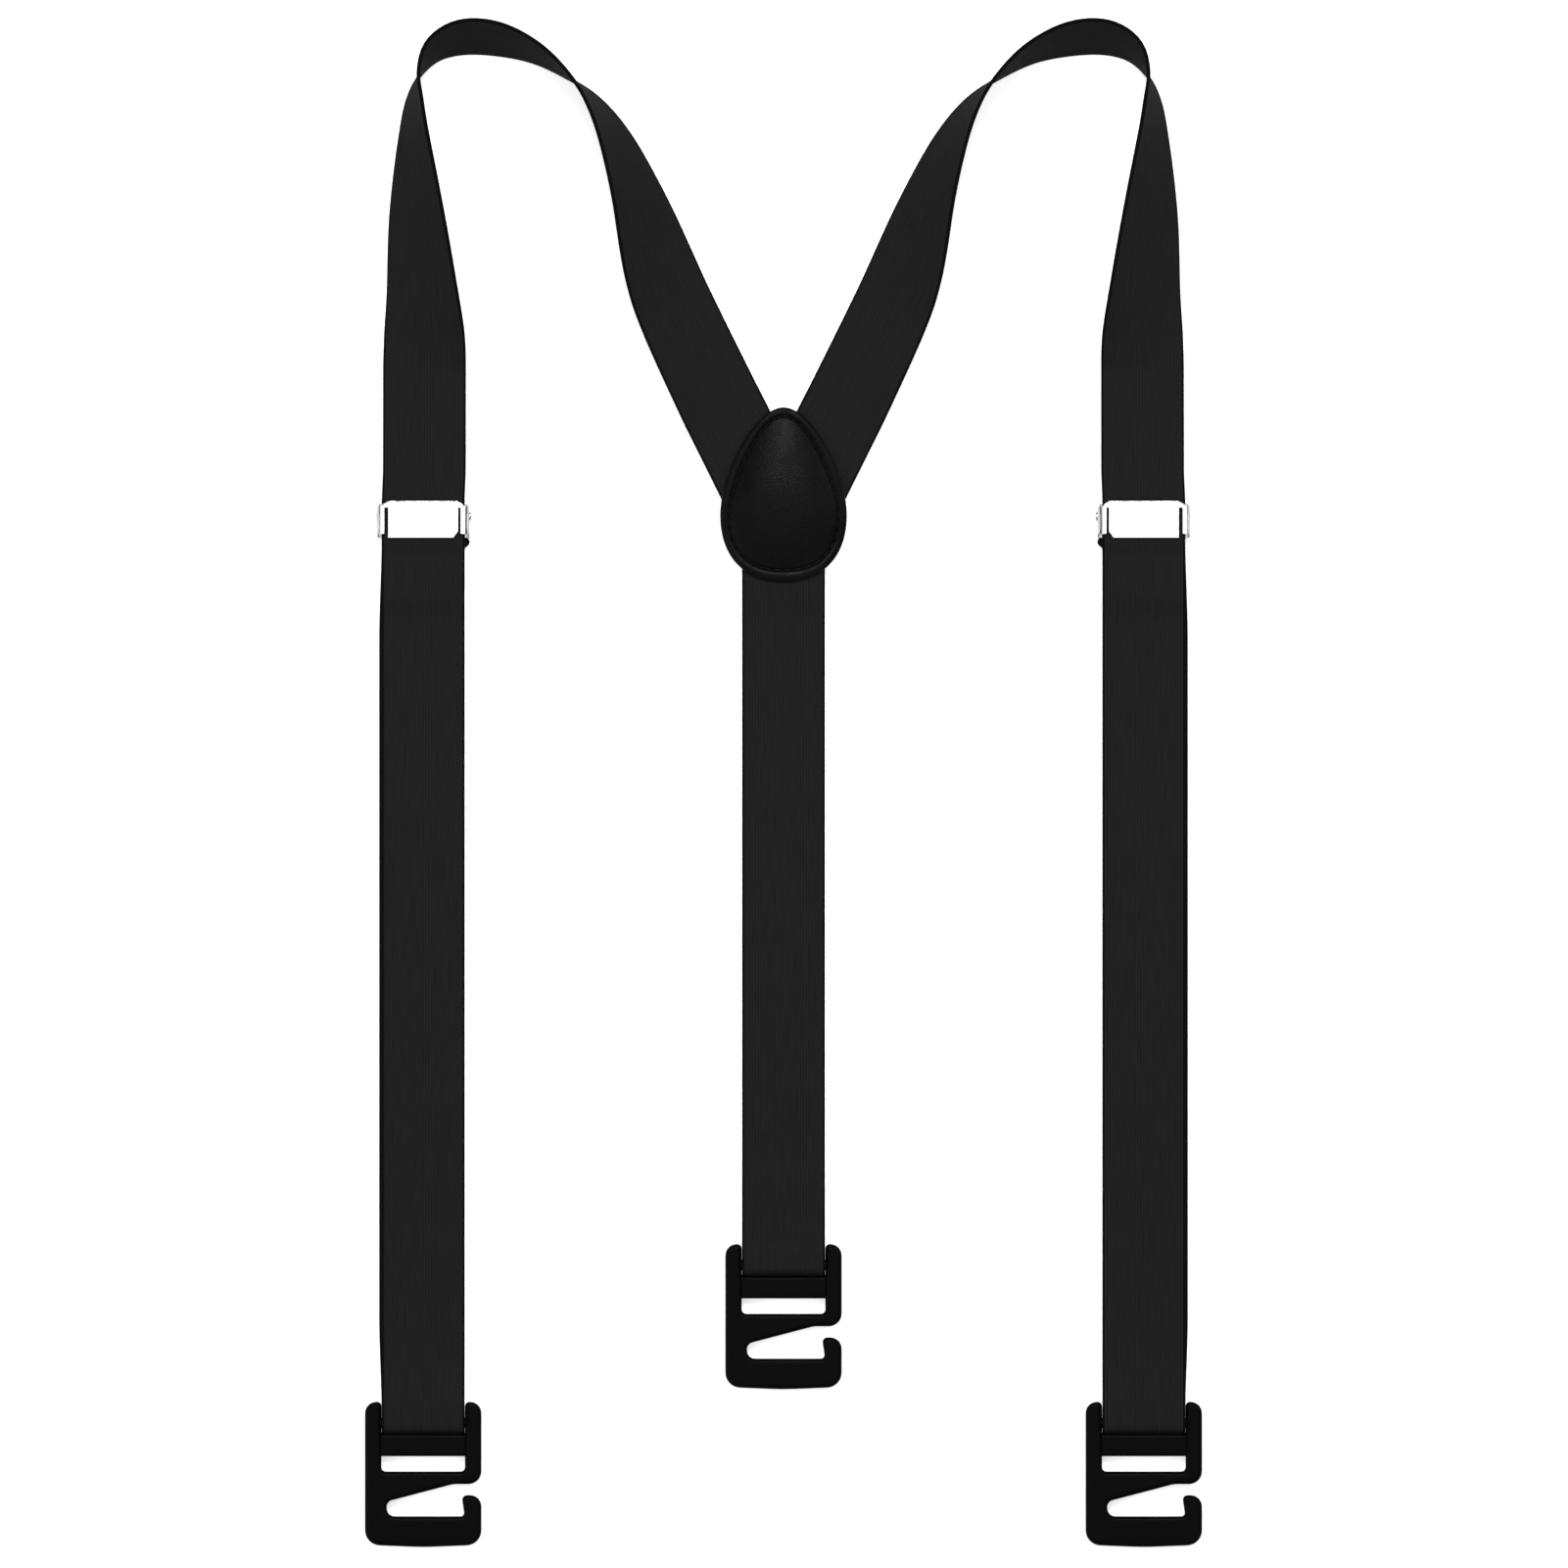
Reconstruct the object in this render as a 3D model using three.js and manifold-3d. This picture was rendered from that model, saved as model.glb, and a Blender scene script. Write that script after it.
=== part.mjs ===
// Y-back suspenders laid out on a table, face up. Elastic webbing runs from a leather back patch
// over each shoulder loop to a metal adjuster and a plastic G-hook, and a third strap runs from the
// patch to the back hook. Millimetres: +X to the right as seen from above, +Y towards the shoulders,
// +Z up. The origin is at the middle of the layout, on the table.
import * as THREE from "three";
import { mergeVertices } from "three/addons/utils/BufferGeometryUtils.js";
import Module from "manifold-3d";

const wasm = await Module();
wasm.setup();

// ---- Driving dimensions -------------------------------------------------------------------------
const seatGap = 0.3; // air between two pieces that rest on each other
const mergeDistance = 1e-4;

const strap = { width: 25, thickness: 1.2 };
const frontStrapX = 108.5; // from the middle line to the middle of a front strap
const frontBarY = -192.5; // the bar that a front strap turns round
const backBarY = -145;
const adjusterY = 79.5;
const shoulderStartY = 125; // where the front strap begins its turn over the shoulder

const hook = {
  rail: 4.55, // width of the frame beside the webbing
  thickness: 5,
  topAboveBar: 5.9,
  bottomBelowBar: 36.4,
  bottomBow: 0.6, // how far the bottom edge bulges out
  barRadius: 1.6,
  barClearance: 0.3, // between the bar and the webbing round it
  sideClearance: 0.5, // between the webbing's edges and the rails
  cornerTop: 3.2,
  cornerBottom: 4.6,
  slotSide: 0.6, // how far the slot reaches past the webbing's edges
  slotHeight: 5.8,
  middleBar: 5.3,
  middleBarThickness: 3,
  middleBarGap: 1, // from the webbing's fold to the middle bar
  armRight: 2.5, // height of the arm below the slot, at its open end
  armCorner: 3.9,
  mouthBottom: 28.6, // the mouth's floor, measured down from the bar
  mouthWall: 6.75, // from the outer edge to the mouth's blind end
  mouthEndRadius: 2.8,
  tipWidth: 5.05,
  tipTop: 22.3, // the tip's crest, measured down from the bar
  edgeRound: 1,
};

const adjuster = {
  height: 11.2,
  sheet: 0.8,
  ear: 0.5,
  earClearance: 0.1, // between a lever tab and the ear beside it
  strapSide: 0.2, // between the webbing's edges and the lever tabs
  rearBar: 2.6,
  topBar: 4,
  lever: 0.7,
  leverTab: 0.5,
  shoulder: { width: 2.8, height: 1.5 }, // the lever's cut-off upper corners
  slot: { width: 1.1, fromTop: 2 }, // on both sides of the lever's face
  strip: 1.5, // sheet outside a slot, tab included
  stripEnd: 1.2, // how far the strips stop short of the face's free end
  corner: { width: 1.5, height: 2 }, // cut off the face at its lower inner corner
  pivotFromTop: 0.75,
  pivotAboveStrap: 0.85,
  studRadius: 0.45,
  studFit: 0.07,
  headRadius: 0.8,
  headHeight: 0.25,
  boss: { radius: 1.4, aboveMiddle: 0.9, outer: 0.35, inner: 0.9 }, // pressed out of each ear
  teeth: 11,
  toothWidth: 0.9,
  toothGap: 0.17,
};

const sewnTail = 18; // webbing folded back behind the adjuster and sewn
const backTail = 22; // webbing folded back behind the back hook and sewn
const thread = 0.22;

const patch = {
  halfWidth: 19.1,
  topRise: 32.5, // from the widest level up to the tip
  bottomDrop: 20,
  widestY: 80.8,
  leather: 1.2,
  flange: 3.4, // flat border outside the stitched groove
  grooveWidth: 0.9,
  grooveDepth: 0.5,
  domeRise: 2.6,
  strapMeetY: 84.5, // where the shoulder straps end and the back strap begins
};

// ---- Materials ----------------------------------------------------------------------------------
const webbing = new THREE.MeshStandardMaterial({ color: 0x242424, roughness: 0.9 });
const leather = new THREE.MeshStandardMaterial({ color: 0x1a1a1a, roughness: 0.5 });
const foam = new THREE.MeshStandardMaterial({ color: 0x2b2b2b, roughness: 1 });
const sewing = new THREE.MeshStandardMaterial({ color: 0x101010, roughness: 0.7 });
const plastic = new THREE.MeshStandardMaterial({ color: 0x141414, roughness: 0.45 });
const steel = new THREE.MeshStandardMaterial({ color: 0xe6e6e8, roughness: 0.15, metalness: 1 });

// ---- Solids -------------------------------------------------------------------------------------
function toSolid(geometry) {
  const bare = geometry.clone();
  Object.keys(bare.attributes)
    .filter((name) => name !== "position")
    .forEach((name) => bare.deleteAttribute(name));
  const merged = mergeVertices(bare, mergeDistance);
  return new wasm.Manifold(
    new wasm.Mesh({
      numProp: 3,
      vertProperties: merged.attributes.position.array,
      triVerts: new Uint32Array(merged.index.array),
    }),
  );
}

function toGeometry(solid) {
  const mesh = solid.getMesh();
  const positions = new Float32Array(mesh.numVert * 3);
  for (let i = 0; i < mesh.numVert; i++) {
    const start = i * mesh.numProp;
    positions.set(mesh.vertProperties.subarray(start, start + 3), i * 3);
  }
  const geometry = new THREE.BufferGeometry();
  geometry.setAttribute("position", new THREE.BufferAttribute(positions, 3));
  geometry.setIndex(new THREE.BufferAttribute(new Uint32Array(mesh.triVerts), 1));
  geometry.computeVertexNormals();
  return geometry;
}

function boxSolid([x0, x1], [y0, y1], [z0, z1]) {
  const box = new THREE.BoxGeometry(x1 - x0, y1 - y0, z1 - z0);
  return toSolid(box.translate((x0 + x1) / 2, (y0 + y1) / 2, (z0 + z1) / 2));
}

// A cylinder along X, centred on the X axis line through (y, z).
function rodSolid(radius, [x0, x1], y, z, sides = 20) {
  const rod = new THREE.CylinderGeometry(radius, radius, x1 - x0, sides);
  return toSolid(rod.rotateZ(Math.PI / 2).translate((x0 + x1) / 2, y, z));
}

function makeMesh(name, geometry, material) {
  const mesh = new THREE.Mesh(geometry, material);
  mesh.name = name;
  return mesh;
}

// ---- Webbing ------------------------------------------------------------------------------------
// Bends a flat strip along a list of stations, each with its centre and its direction across the width.
function bendStrip(stations, acrossSegments = 1) {
  const last = stations.length - 1;
  const strip = new THREE.BoxGeometry(strap.width, last, strap.thickness, acrossSegments, last, 1);
  const position = strip.getAttribute("position");
  const frames = stations.map(({ centre, across }, i) => {
    const before = stations[Math.max(i - 1, 0)].centre;
    const after = stations[Math.min(i + 1, last)].centre;
    const along = after.clone().sub(before).normalize();
    return { centre, across, normal: across.clone().cross(along).normalize() };
  });
  for (let i = 0; i < position.count; i++) {
    const frame = frames[Math.round(position.getY(i) + last / 2)];
    const point = frame.centre
      .clone()
      .addScaledVector(frame.across, position.getX(i))
      .addScaledVector(frame.normal, position.getZ(i));
    position.setXYZ(i, point.x, point.y, point.z);
  }
  return strip;
}

// Height between given levels [y, z], with a smooth slope from each to the next.
function heightAt(y, levels) {
  const next = levels.findIndex(([levelY]) => levelY <= y);
  if (next === 0) return levels[0][1];
  if (next < 0) return levels[levels.length - 1][1];
  const [y1, z1] = levels[next];
  const [y0, z0] = levels[next - 1];
  return THREE.MathUtils.lerp(z0, z1, THREE.MathUtils.smoothstep(y0 - y, 0, y0 - y1));
}

const acrossDown = new THREE.Vector3(-1, 0, 0); // width direction of a strip that runs towards -Y

const stationAt = (x, y, z) => ({ centre: new THREE.Vector3(x, y, z), across: acrossDown });

// A strip that runs straight from one y down to another, following the levels.
function straightRun(x, fromY, toY, levels) {
  const slopeSteps = 8;
  const stops = [fromY, toY];
  for (let i = 1; i < levels.length; i++) {
    const [y0, z0] = levels[i - 1];
    const [y1, z1] = levels[i];
    const steps = z0 === z1 ? 1 : slopeSteps;
    for (let k = 0; k <= steps; k++) stops.push(THREE.MathUtils.lerp(y0, y1, k / steps));
  }
  const stations = stops
    .filter((y) => y <= fromY && y >= toY)
    .sort((one, other) => other - one)
    .filter((y, i, all) => i === 0 || all[i - 1] - y > mergeDistance)
    .map((y) => stationAt(x, y, heightAt(y, levels)));
  return bendStrip(stations);
}

// Half turn of a strip about an axis along X, as stations from the top of the turn to its bottom.
function foldStations(x, axisY, axisZ, radius, towards, steps = 10) {
  const across = acrossDown.clone().multiplyScalar(-towards);
  return Array.from({ length: steps + 1 }, (_, i) => {
    const angle = (Math.PI * i) / steps;
    const y = axisY + towards * radius * Math.sin(angle);
    return { centre: new THREE.Vector3(x, y, axisZ + radius * Math.cos(angle)), across };
  });
}

// Levels of the webbing's middle plane above the table.
const onTable = strap.thickness / 2;
const ply = strap.thickness + seatGap; // one layer of webbing and the air over it
const foldRadius = hook.barRadius + hook.barClearance + strap.thickness / 2; // webbing round the bar
const barZ = foldRadius + onTable;
const overBar = barZ + foldRadius;
const onPatch = patch.leather + seatGap + onTable;
const plateZ = strap.thickness + seatGap; // underside of the adjuster's rear bar
const returnOverBar = plateZ + adjuster.sheet + seatGap + onTable;
const frontInAdjuster = returnOverBar + ply;

// ---- G-hook, built round the bar's axis ---------------------------------------------------------
const notchHalf = strap.width / 2 + hook.sideClearance;
const middleBarTop = -(foldRadius + strap.thickness / 2 + hook.middleBarGap);
const slotTop = middleBarTop - hook.middleBar;
const slotBottom = slotTop - hook.slotHeight;
const armBottom = slotBottom - hook.armRight;
const hookBottom = -hook.bottomBelowBar;
const hookHalf = notchHalf + hook.rail;
const mouthOuter = hookHalf - hook.tipWidth;

function hookOutline() {
  const shape = new THREE.Shape();
  const mouthCentreY = -hook.mouthBottom + hook.mouthEndRadius;
  const endX = -hookHalf + hook.mouthWall + hook.mouthEndRadius;
  shape.moveTo(-notchHalf, middleBarTop);
  shape.lineTo(-notchHalf, hook.topAboveBar);
  shape.lineTo(-hookHalf + hook.cornerTop, hook.topAboveBar);
  shape.absarc(-hookHalf + hook.cornerTop, hook.topAboveBar - hook.cornerTop, hook.cornerTop,
    Math.PI / 2, Math.PI, false);
  shape.lineTo(-hookHalf, hookBottom + hook.cornerBottom);
  shape.absarc(-hookHalf + hook.cornerBottom, hookBottom + hook.cornerBottom, hook.cornerBottom,
    Math.PI, 1.5 * Math.PI, false);
  shape.quadraticCurveTo(0, hookBottom - 2 * hook.bottomBow, hookHalf - hook.cornerBottom, hookBottom);
  shape.absarc(hookHalf - hook.cornerBottom, hookBottom + hook.cornerBottom, hook.cornerBottom,
    -Math.PI / 2, 0, false);
  // The tip curls up to its crest and comes down to the mouth's floor.
  const crest = -hook.tipTop;
  const tip = hook.tipWidth;
  shape.lineTo(hookHalf, crest - 0.8 * tip);
  shape.quadraticCurveTo(hookHalf, crest, mouthOuter + 0.3 * tip, crest);
  shape.quadraticCurveTo(mouthOuter - 0.12 * tip, crest, mouthOuter - 0.1 * tip, crest - 0.3 * tip);
  shape.lineTo(mouthOuter, -hook.mouthBottom + 1);
  shape.quadraticCurveTo(mouthOuter, -hook.mouthBottom, mouthOuter - 1, -hook.mouthBottom);
  // The mouth: a flat floor, a round blind end and a roof that slopes up to the opening.
  shape.lineTo(endX, -hook.mouthBottom);
  shape.absarc(endX, mouthCentreY, hook.mouthEndRadius, -Math.PI / 2, -1.42 * Math.PI, true);
  shape.lineTo(hookHalf / 2, armBottom - 0.6);
  shape.quadraticCurveTo(hookHalf / 2 + 2, armBottom, hookHalf - hook.armCorner, armBottom);
  shape.absarc(hookHalf - hook.armCorner, armBottom + hook.armCorner, hook.armCorner,
    -Math.PI / 2, 0, false);
  shape.lineTo(hookHalf, hook.topAboveBar - hook.cornerTop);
  shape.absarc(hookHalf - hook.cornerTop, hook.topAboveBar - hook.cornerTop, hook.cornerTop,
    0, Math.PI / 2, false);
  shape.lineTo(notchHalf, hook.topAboveBar);
  shape.lineTo(notchHalf, middleBarTop);
  shape.closePath();

  const slot = new THREE.Path();
  const slotCorner = 1.3;
  const slotHalf = strap.width / 2 + hook.slotSide;
  slot.moveTo(-slotHalf + slotCorner, slotBottom);
  slot.lineTo(slotHalf - slotCorner, slotBottom);
  slot.absarc(slotHalf - slotCorner, slotBottom + slotCorner, slotCorner, -Math.PI / 2, 0, false);
  slot.absarc(slotHalf - slotCorner, slotTop - slotCorner, slotCorner, 0, Math.PI / 2, false);
  slot.absarc(-slotHalf + slotCorner, slotTop - slotCorner, slotCorner, Math.PI / 2, Math.PI, false);
  slot.absarc(-slotHalf + slotCorner, slotBottom + slotCorner, slotCorner,
    Math.PI, 1.5 * Math.PI, false);
  shape.holes.push(slot);
  return shape;
}

function hookGeometry() {
  const body = new THREE.ExtrudeGeometry(hookOutline(), {
    depth: hook.thickness - 2 * hook.edgeRound,
    bevelThickness: hook.edgeRound,
    bevelSize: hook.edgeRound,
    bevelOffset: -hook.edgeRound,
    bevelSegments: 2,
    curveSegments: 5,
  });
  body.translate(0, 0, -barZ + hook.edgeRound);
  const over = 1; // how far a cutter runs past the face it cuts
  const barFaceUp = -barZ + (hook.thickness + hook.middleBarThickness) / 2;
  const barFaceDown = barFaceUp - hook.middleBarThickness;
  const alongBar = [-notchHalf, notchHalf];
  const acrossBar = [slotTop - over / 2, middleBarTop + over];
  const above = boxSolid(alongBar, acrossBar, [barFaceUp, hook.thickness]);
  const below = boxSolid(alongBar, acrossBar, [-hook.thickness, barFaceDown]);
  const bar = rodSolid(hook.barRadius, [-notchHalf - over, notchHalf + over], 0, 0);
  return toGeometry(toSolid(body).subtract(above).subtract(below).add(bar));
}

// ---- Adjuster, built round its own middle -------------------------------------------------------
const tabInner = strap.width / 2 + adjuster.strapSide;
const tabOuter = tabInner + adjuster.leverTab;
const earInner = tabOuter + adjuster.earClearance;
const earOuter = earInner + adjuster.ear;
const adjusterHalf = adjuster.height / 2;
const frontTop = frontInAdjuster + onTable; // top face of the webbing under the lever
const pivotY = adjusterHalf - adjuster.pivotFromTop;
const pivotZ = frontTop + adjuster.pivotAboveStrap;
const leverTop = pivotZ + adjuster.lever / 2;

// A low dome on the outside of an ear, with its flat side sunk a little into it.
function bossSolid(side, height) {
  const sunk = 0.1;
  const steps = 4;
  const { radius, aboveMiddle } = adjuster.boss;
  const profile = [new THREE.Vector2(0, 0)];
  for (let i = 0; i <= steps; i++) {
    const angle = (i / steps) * (Math.PI / 2);
    const across = i === steps ? 0 : radius * Math.cos(angle);
    profile.push(new THREE.Vector2(across, (height + sunk) * Math.sin(angle)));
  }
  const dome = new THREE.LatheGeometry(profile, 16).rotateZ((-side * Math.PI) / 2);
  return toSolid(dome.translate(side * (earOuter - sunk), aboveMiddle, (plateZ + pivotZ) / 2));
}

const through = 0.05; // how far a stud's hole runs past each face of the sheet

function adjusterFrameGeometry() {
  const rear = boxSolid([-earOuter, earOuter], [-adjusterHalf, -adjusterHalf + adjuster.rearBar],
    [plateZ, plateZ + adjuster.sheet]);
  const topBarZ = frontInAdjuster - onTable - seatGap;
  const top = boxSolid([-earOuter, earOuter], [adjusterHalf - adjuster.topBar, adjusterHalf],
    [topBarZ - adjuster.sheet, topBarZ]);
  let frame = rear.add(top);
  for (const side of [-1, 1]) {
    const nearest = Math.min(side * earInner, side * earOuter);
    const nose = adjuster.pivotFromTop + 0.9;
    const profile = new THREE.Shape();
    profile.moveTo(-adjusterHalf, plateZ);
    profile.lineTo(adjusterHalf, plateZ);
    profile.lineTo(adjusterHalf, leverTop - nose);
    profile.quadraticCurveTo(adjusterHalf, leverTop, pivotY, leverTop);
    profile.lineTo(-adjusterHalf + nose, leverTop - 0.4);
    profile.quadraticCurveTo(-adjusterHalf, leverTop - 0.4, -adjusterHalf, leverTop - nose);
    profile.closePath();
    // The profile is drawn in Y and Z, so its extrusion is turned to run along X.
    const ear = new THREE.ExtrudeGeometry(profile, {
      depth: adjuster.ear,
      bevelEnabled: false,
      curveSegments: 5,
    });
    ear.rotateX(Math.PI / 2).rotateZ(Math.PI / 2).translate(nearest, 0, 0);
    const hole = rodSolid(adjuster.studRadius + adjuster.studFit / 2,
      [nearest - through, nearest + adjuster.ear + through], pivotY, pivotZ, 16);
    const boss = bossSolid(side, side < 0 ? adjuster.boss.outer : adjuster.boss.inner);
    frame = frame.add(toSolid(ear)).subtract(hole).add(boss);
  }
  return toGeometry(frame);
}

function leverGeometry() {
  const top = adjusterHalf - 0.1;
  const bottom = -adjusterHalf;
  const stripEnd = bottom + adjuster.stripEnd;
  const slotOuter = tabOuter - adjuster.strip;
  const slotInner = slotOuter - adjuster.slot.width;
  const slotTop = top - adjuster.slot.fromTop;
  const { shoulder, corner } = adjuster;
  const outline = [
    [-tabOuter + shoulder.width, top],
    [-tabOuter, top - shoulder.height],
    [-tabOuter, stripEnd],
    [-slotOuter, stripEnd],
    [-slotOuter, slotTop],
    [-slotInner, slotTop],
    [-slotInner, bottom],
    [slotInner - corner.width, bottom],
    [slotInner, bottom + corner.height],
    [slotInner, slotTop],
    [slotOuter, slotTop],
    [slotOuter, stripEnd],
    [tabOuter, stripEnd],
    [tabOuter, top - shoulder.height],
    [tabOuter - shoulder.width, top],
  ];
  const face = new THREE.Shape(outline.map(([x, y]) => new THREE.Vector2(x, y)));
  const plate = new THREE.ExtrudeGeometry(face, { depth: adjuster.lever, bevelEnabled: false });
  let lever = toSolid(plate.translate(0, 0, leverTop - adjuster.lever));
  const tabDrop = frontTop - strap.thickness; // the tabs reach down beside the webbing
  for (const side of [-1, 1]) {
    const reach = [side * tabInner, side * tabOuter].sort((one, other) => one - other);
    const tab = boxSolid(reach, [stripEnd, top], [tabDrop, leverTop - 0.1]);
    const hole = rodSolid(adjuster.studRadius + adjuster.studFit,
      [reach[0] - through, reach[1] + through], pivotY, pivotZ, 16);
    lever = lever.add(tab).subtract(hole);
  }
  // The teeth hang from the plate under the pivot and end just above the webbing.
  const pitch = (strap.width - 2 * adjuster.toothWidth) / adjuster.teeth;
  for (let i = 0; i < adjuster.teeth; i++) {
    const x = (i - (adjuster.teeth - 1) / 2) * pitch;
    const tooth = boxSolid([x - adjuster.toothWidth / 2, x + adjuster.toothWidth / 2],
      [pivotY - 0.35, pivotY + 0.35], [frontTop + adjuster.toothGap, pivotZ]);
    lever = lever.add(tooth);
  }
  return toGeometry(lever);
}

// A short rivet through one ear and the lever tab inside it, with a domed head outside.
function studGeometry(side) {
  const headShare = 0.6;
  const profile = [
    [0, tabInner],
    [adjuster.studRadius, tabInner],
    [adjuster.studRadius, earOuter + 0.05],
    [adjuster.headRadius, earOuter + 0.05],
    [adjuster.headRadius, earOuter + 0.05 + adjuster.headHeight * (1 - headShare)],
    [adjuster.headRadius * headShare, earOuter + adjuster.headHeight],
    [0, earOuter + adjuster.headHeight + 0.05],
  ].map(([radius, along]) => new THREE.Vector2(radius, along));
  const stud = new THREE.LatheGeometry(profile, 16);
  stud.rotateZ((-side * Math.PI) / 2);
  return stud.translate(0, pivotY, pivotZ);
}

// ---- Leather patch ------------------------------------------------------------------------------
function patchOutline() {
  const { halfWidth, topRise, bottomDrop, widestY } = patch;
  const top = widestY + topRise;
  const bottom = widestY - bottomDrop;
  const tipCurve = 0.45 * halfWidth; // how blunt the tip is
  const sideCurve = widestY + 0.38 * topRise; // how long the sides stay wide above the widest level
  const lowerCurve = widestY - 0.55 * bottomDrop;
  const baseCurve = 0.7 * halfWidth;
  const shape = new THREE.Shape();
  shape.moveTo(0, bottom);
  shape.bezierCurveTo(baseCurve, bottom, halfWidth, lowerCurve, halfWidth, widestY);
  shape.bezierCurveTo(halfWidth, sideCurve, tipCurve, top, 0, top);
  shape.bezierCurveTo(-tipCurve, top, -halfWidth, sideCurve, -halfWidth, widestY);
  shape.bezierCurveTo(-halfWidth, lowerCurve, -baseCurve, bottom, 0, bottom);
  return shape;
}

const outlinePoints = patchOutline().getPoints(12).slice(0, -1); // counter-clockwise, not repeated

// The outline moved inwards by a distance, then drawn in towards its middle by a share.
function patchRing(inset, share, z) {
  const count = outlinePoints.length;
  const middle = new THREE.Vector2(0, patch.widestY + (patch.topRise - patch.bottomDrop) / 4);
  return outlinePoints.map((point, i) => {
    const along = outlinePoints[(i + 1) % count].clone().sub(outlinePoints[(i + count - 1) % count]);
    const outward = new THREE.Vector2(along.y, -along.x).normalize();
    const moved = point.clone().addScaledVector(outward, -inset);
    const drawn = moved.sub(middle).multiplyScalar(share).add(middle);
    return new THREE.Vector3(drawn.x, drawn.y, z);
  });
}

// Closes a stack of rings, listed from the middle of the underside round to the middle of the top.
function ringSolid(rings) {
  const count = rings[0].length;
  const centreOf = (ring) =>
    ring.reduce((sum, p) => sum.add(p), new THREE.Vector3()).divideScalar(count);
  const points = [...rings.flat(), centreOf(rings[0]), centreOf(rings[rings.length - 1])];
  const [under, over] = [points.length - 2, points.length - 1];
  const lastStart = (rings.length - 1) * count;
  const faces = [];
  for (let i = 0; i < count; i++) {
    const j = (i + 1) % count;
    faces.push(under, j, i, over, lastStart + i, lastStart + j);
    for (let r = 0; r < rings.length - 1; r++) {
      const [a, b, c, d] = [r * count + i, r * count + j, (r + 1) * count + j, (r + 1) * count + i];
      faces.push(a, b, c, a, c, d);
    }
  }
  const geometry = new THREE.BufferGeometry().setFromPoints(points);
  geometry.setIndex(faces);
  geometry.computeVertexNormals();
  return geometry;
}

const coverZ = onPatch + onTable + seatGap; // underside of the front leather
const coverTop = coverZ + patch.leather;
const panelInset = patch.flange + patch.grooveWidth / 2;
const domeAt = (share) => patch.domeRise * Math.sqrt(1 - share * share);

function frontPatchGeometry() {
  const shares = [0.97, 0.88, 0.7, 0.45, 0.2];
  const edge = 0.35; // how much the leather's cut edge is rounded
  const bottomZ = (share) => coverZ + Math.max(0, domeAt(share / 0.9));
  const under = shares
    .filter((share) => share < 0.9)
    .reverse()
    .map((share) => patchRing(panelInset, share, bottomZ(share)));
  const flange = [
    patchRing(panelInset, 0.9, coverZ),
    patchRing(edge, 1, coverZ),
    patchRing(0, 1, coverZ + edge),
    patchRing(0, 1, coverTop - edge),
    patchRing(edge, 1, coverTop),
    patchRing(patch.flange - patch.grooveWidth / 2, 1, coverTop),
    patchRing(patch.flange - patch.grooveWidth / 4, 1, coverTop - patch.grooveDepth),
    patchRing(patch.flange + patch.grooveWidth / 4, 1, coverTop - patch.grooveDepth),
    patchRing(panelInset, 1, coverTop),
  ];
  const panel = shares.map((share) => patchRing(panelInset, share, coverTop + domeAt(share)));
  return ringSolid([...under, ...flange, ...panel]);
}

function padGeometry() {
  const edge = 0.84;
  const shares = [0.82, 0.7, 0.45, 0.2];
  const top = shares.map((share) =>
    patchRing(panelInset, share, coverZ + Math.max(0.5, domeAt(share / 0.9) - seatGap)));
  return ringSolid([
    patchRing(panelInset, 0.2, coverZ),
    patchRing(panelInset, edge, coverZ),
    patchRing(panelInset, edge, coverZ + seatGap),
    ...top,
  ]);
}

function backPatchGeometry() {
  return new THREE.ExtrudeGeometry(patchOutline(), {
    depth: patch.leather,
    bevelEnabled: false,
    curveSegments: 12,
  });
}

function patchStitchGeometry() {
  const half = patch.grooveWidth / 4 - 0.05;
  const ringAt = (inset) => patchRing(inset, 1, 0).map((p) => new THREE.Vector2(p.x, p.y));
  const ring = new THREE.Shape(ringAt(patch.flange - half));
  ring.holes.push(new THREE.Path(ringAt(patch.flange + half)));
  const bottom = coverTop - patch.grooveDepth + 0.05;
  const geometry = new THREE.ExtrudeGeometry(ring, { depth: patch.grooveDepth - 0.05, bevelEnabled: false });
  return geometry.translate(0, 0, bottom);
}

// ---- Shoulder strap -----------------------------------------------------------------------------
// The strap leaves the front run flat, rolls up on to its outer edge, leans out over the shoulder
// and rolls down flat again to reach the patch. Each row is x, y, roll in degrees and lift above
// the table, for the left strap, with x as a share of the way out from the middle line to the front
// strap. The last rows run on under the patch.
const shoulderRoute = [
  [1, shoulderStartY, 0, 0],
  [1, shoulderStartY + 9, 11, 0],
  [1.004, 147.5, 30, 0],
  [1.017, 171, 48.5, 0],
  [1.025, 194.7, 69, 0],
  [1.022, 206.5, 80, 0],
  [1.006, 214.5, 93, 0],
  [0.963, 221.2, 106, 0],
  [0.889, 224.6, 113, 0],
  [0.793, 224, 112, 0],
  [0.687, 219.8, 103, 0],
  [0.594, 212.6, 92, 0],
  [0.525, 204.8, 80, 0],
  [0.465, 193.5, 67.5, 0],
  [0.404, 176.5, 52, 0],
  [0.339, 154, 27.5, 0],
  [0.29, 140.5, 17, 0],
  [0.192, 118, 7, 0.6],
  [0.138, 106.2, 0, patch.leather + seatGap],
  [0.018, 80, 0, patch.leather + seatGap],
];

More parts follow.
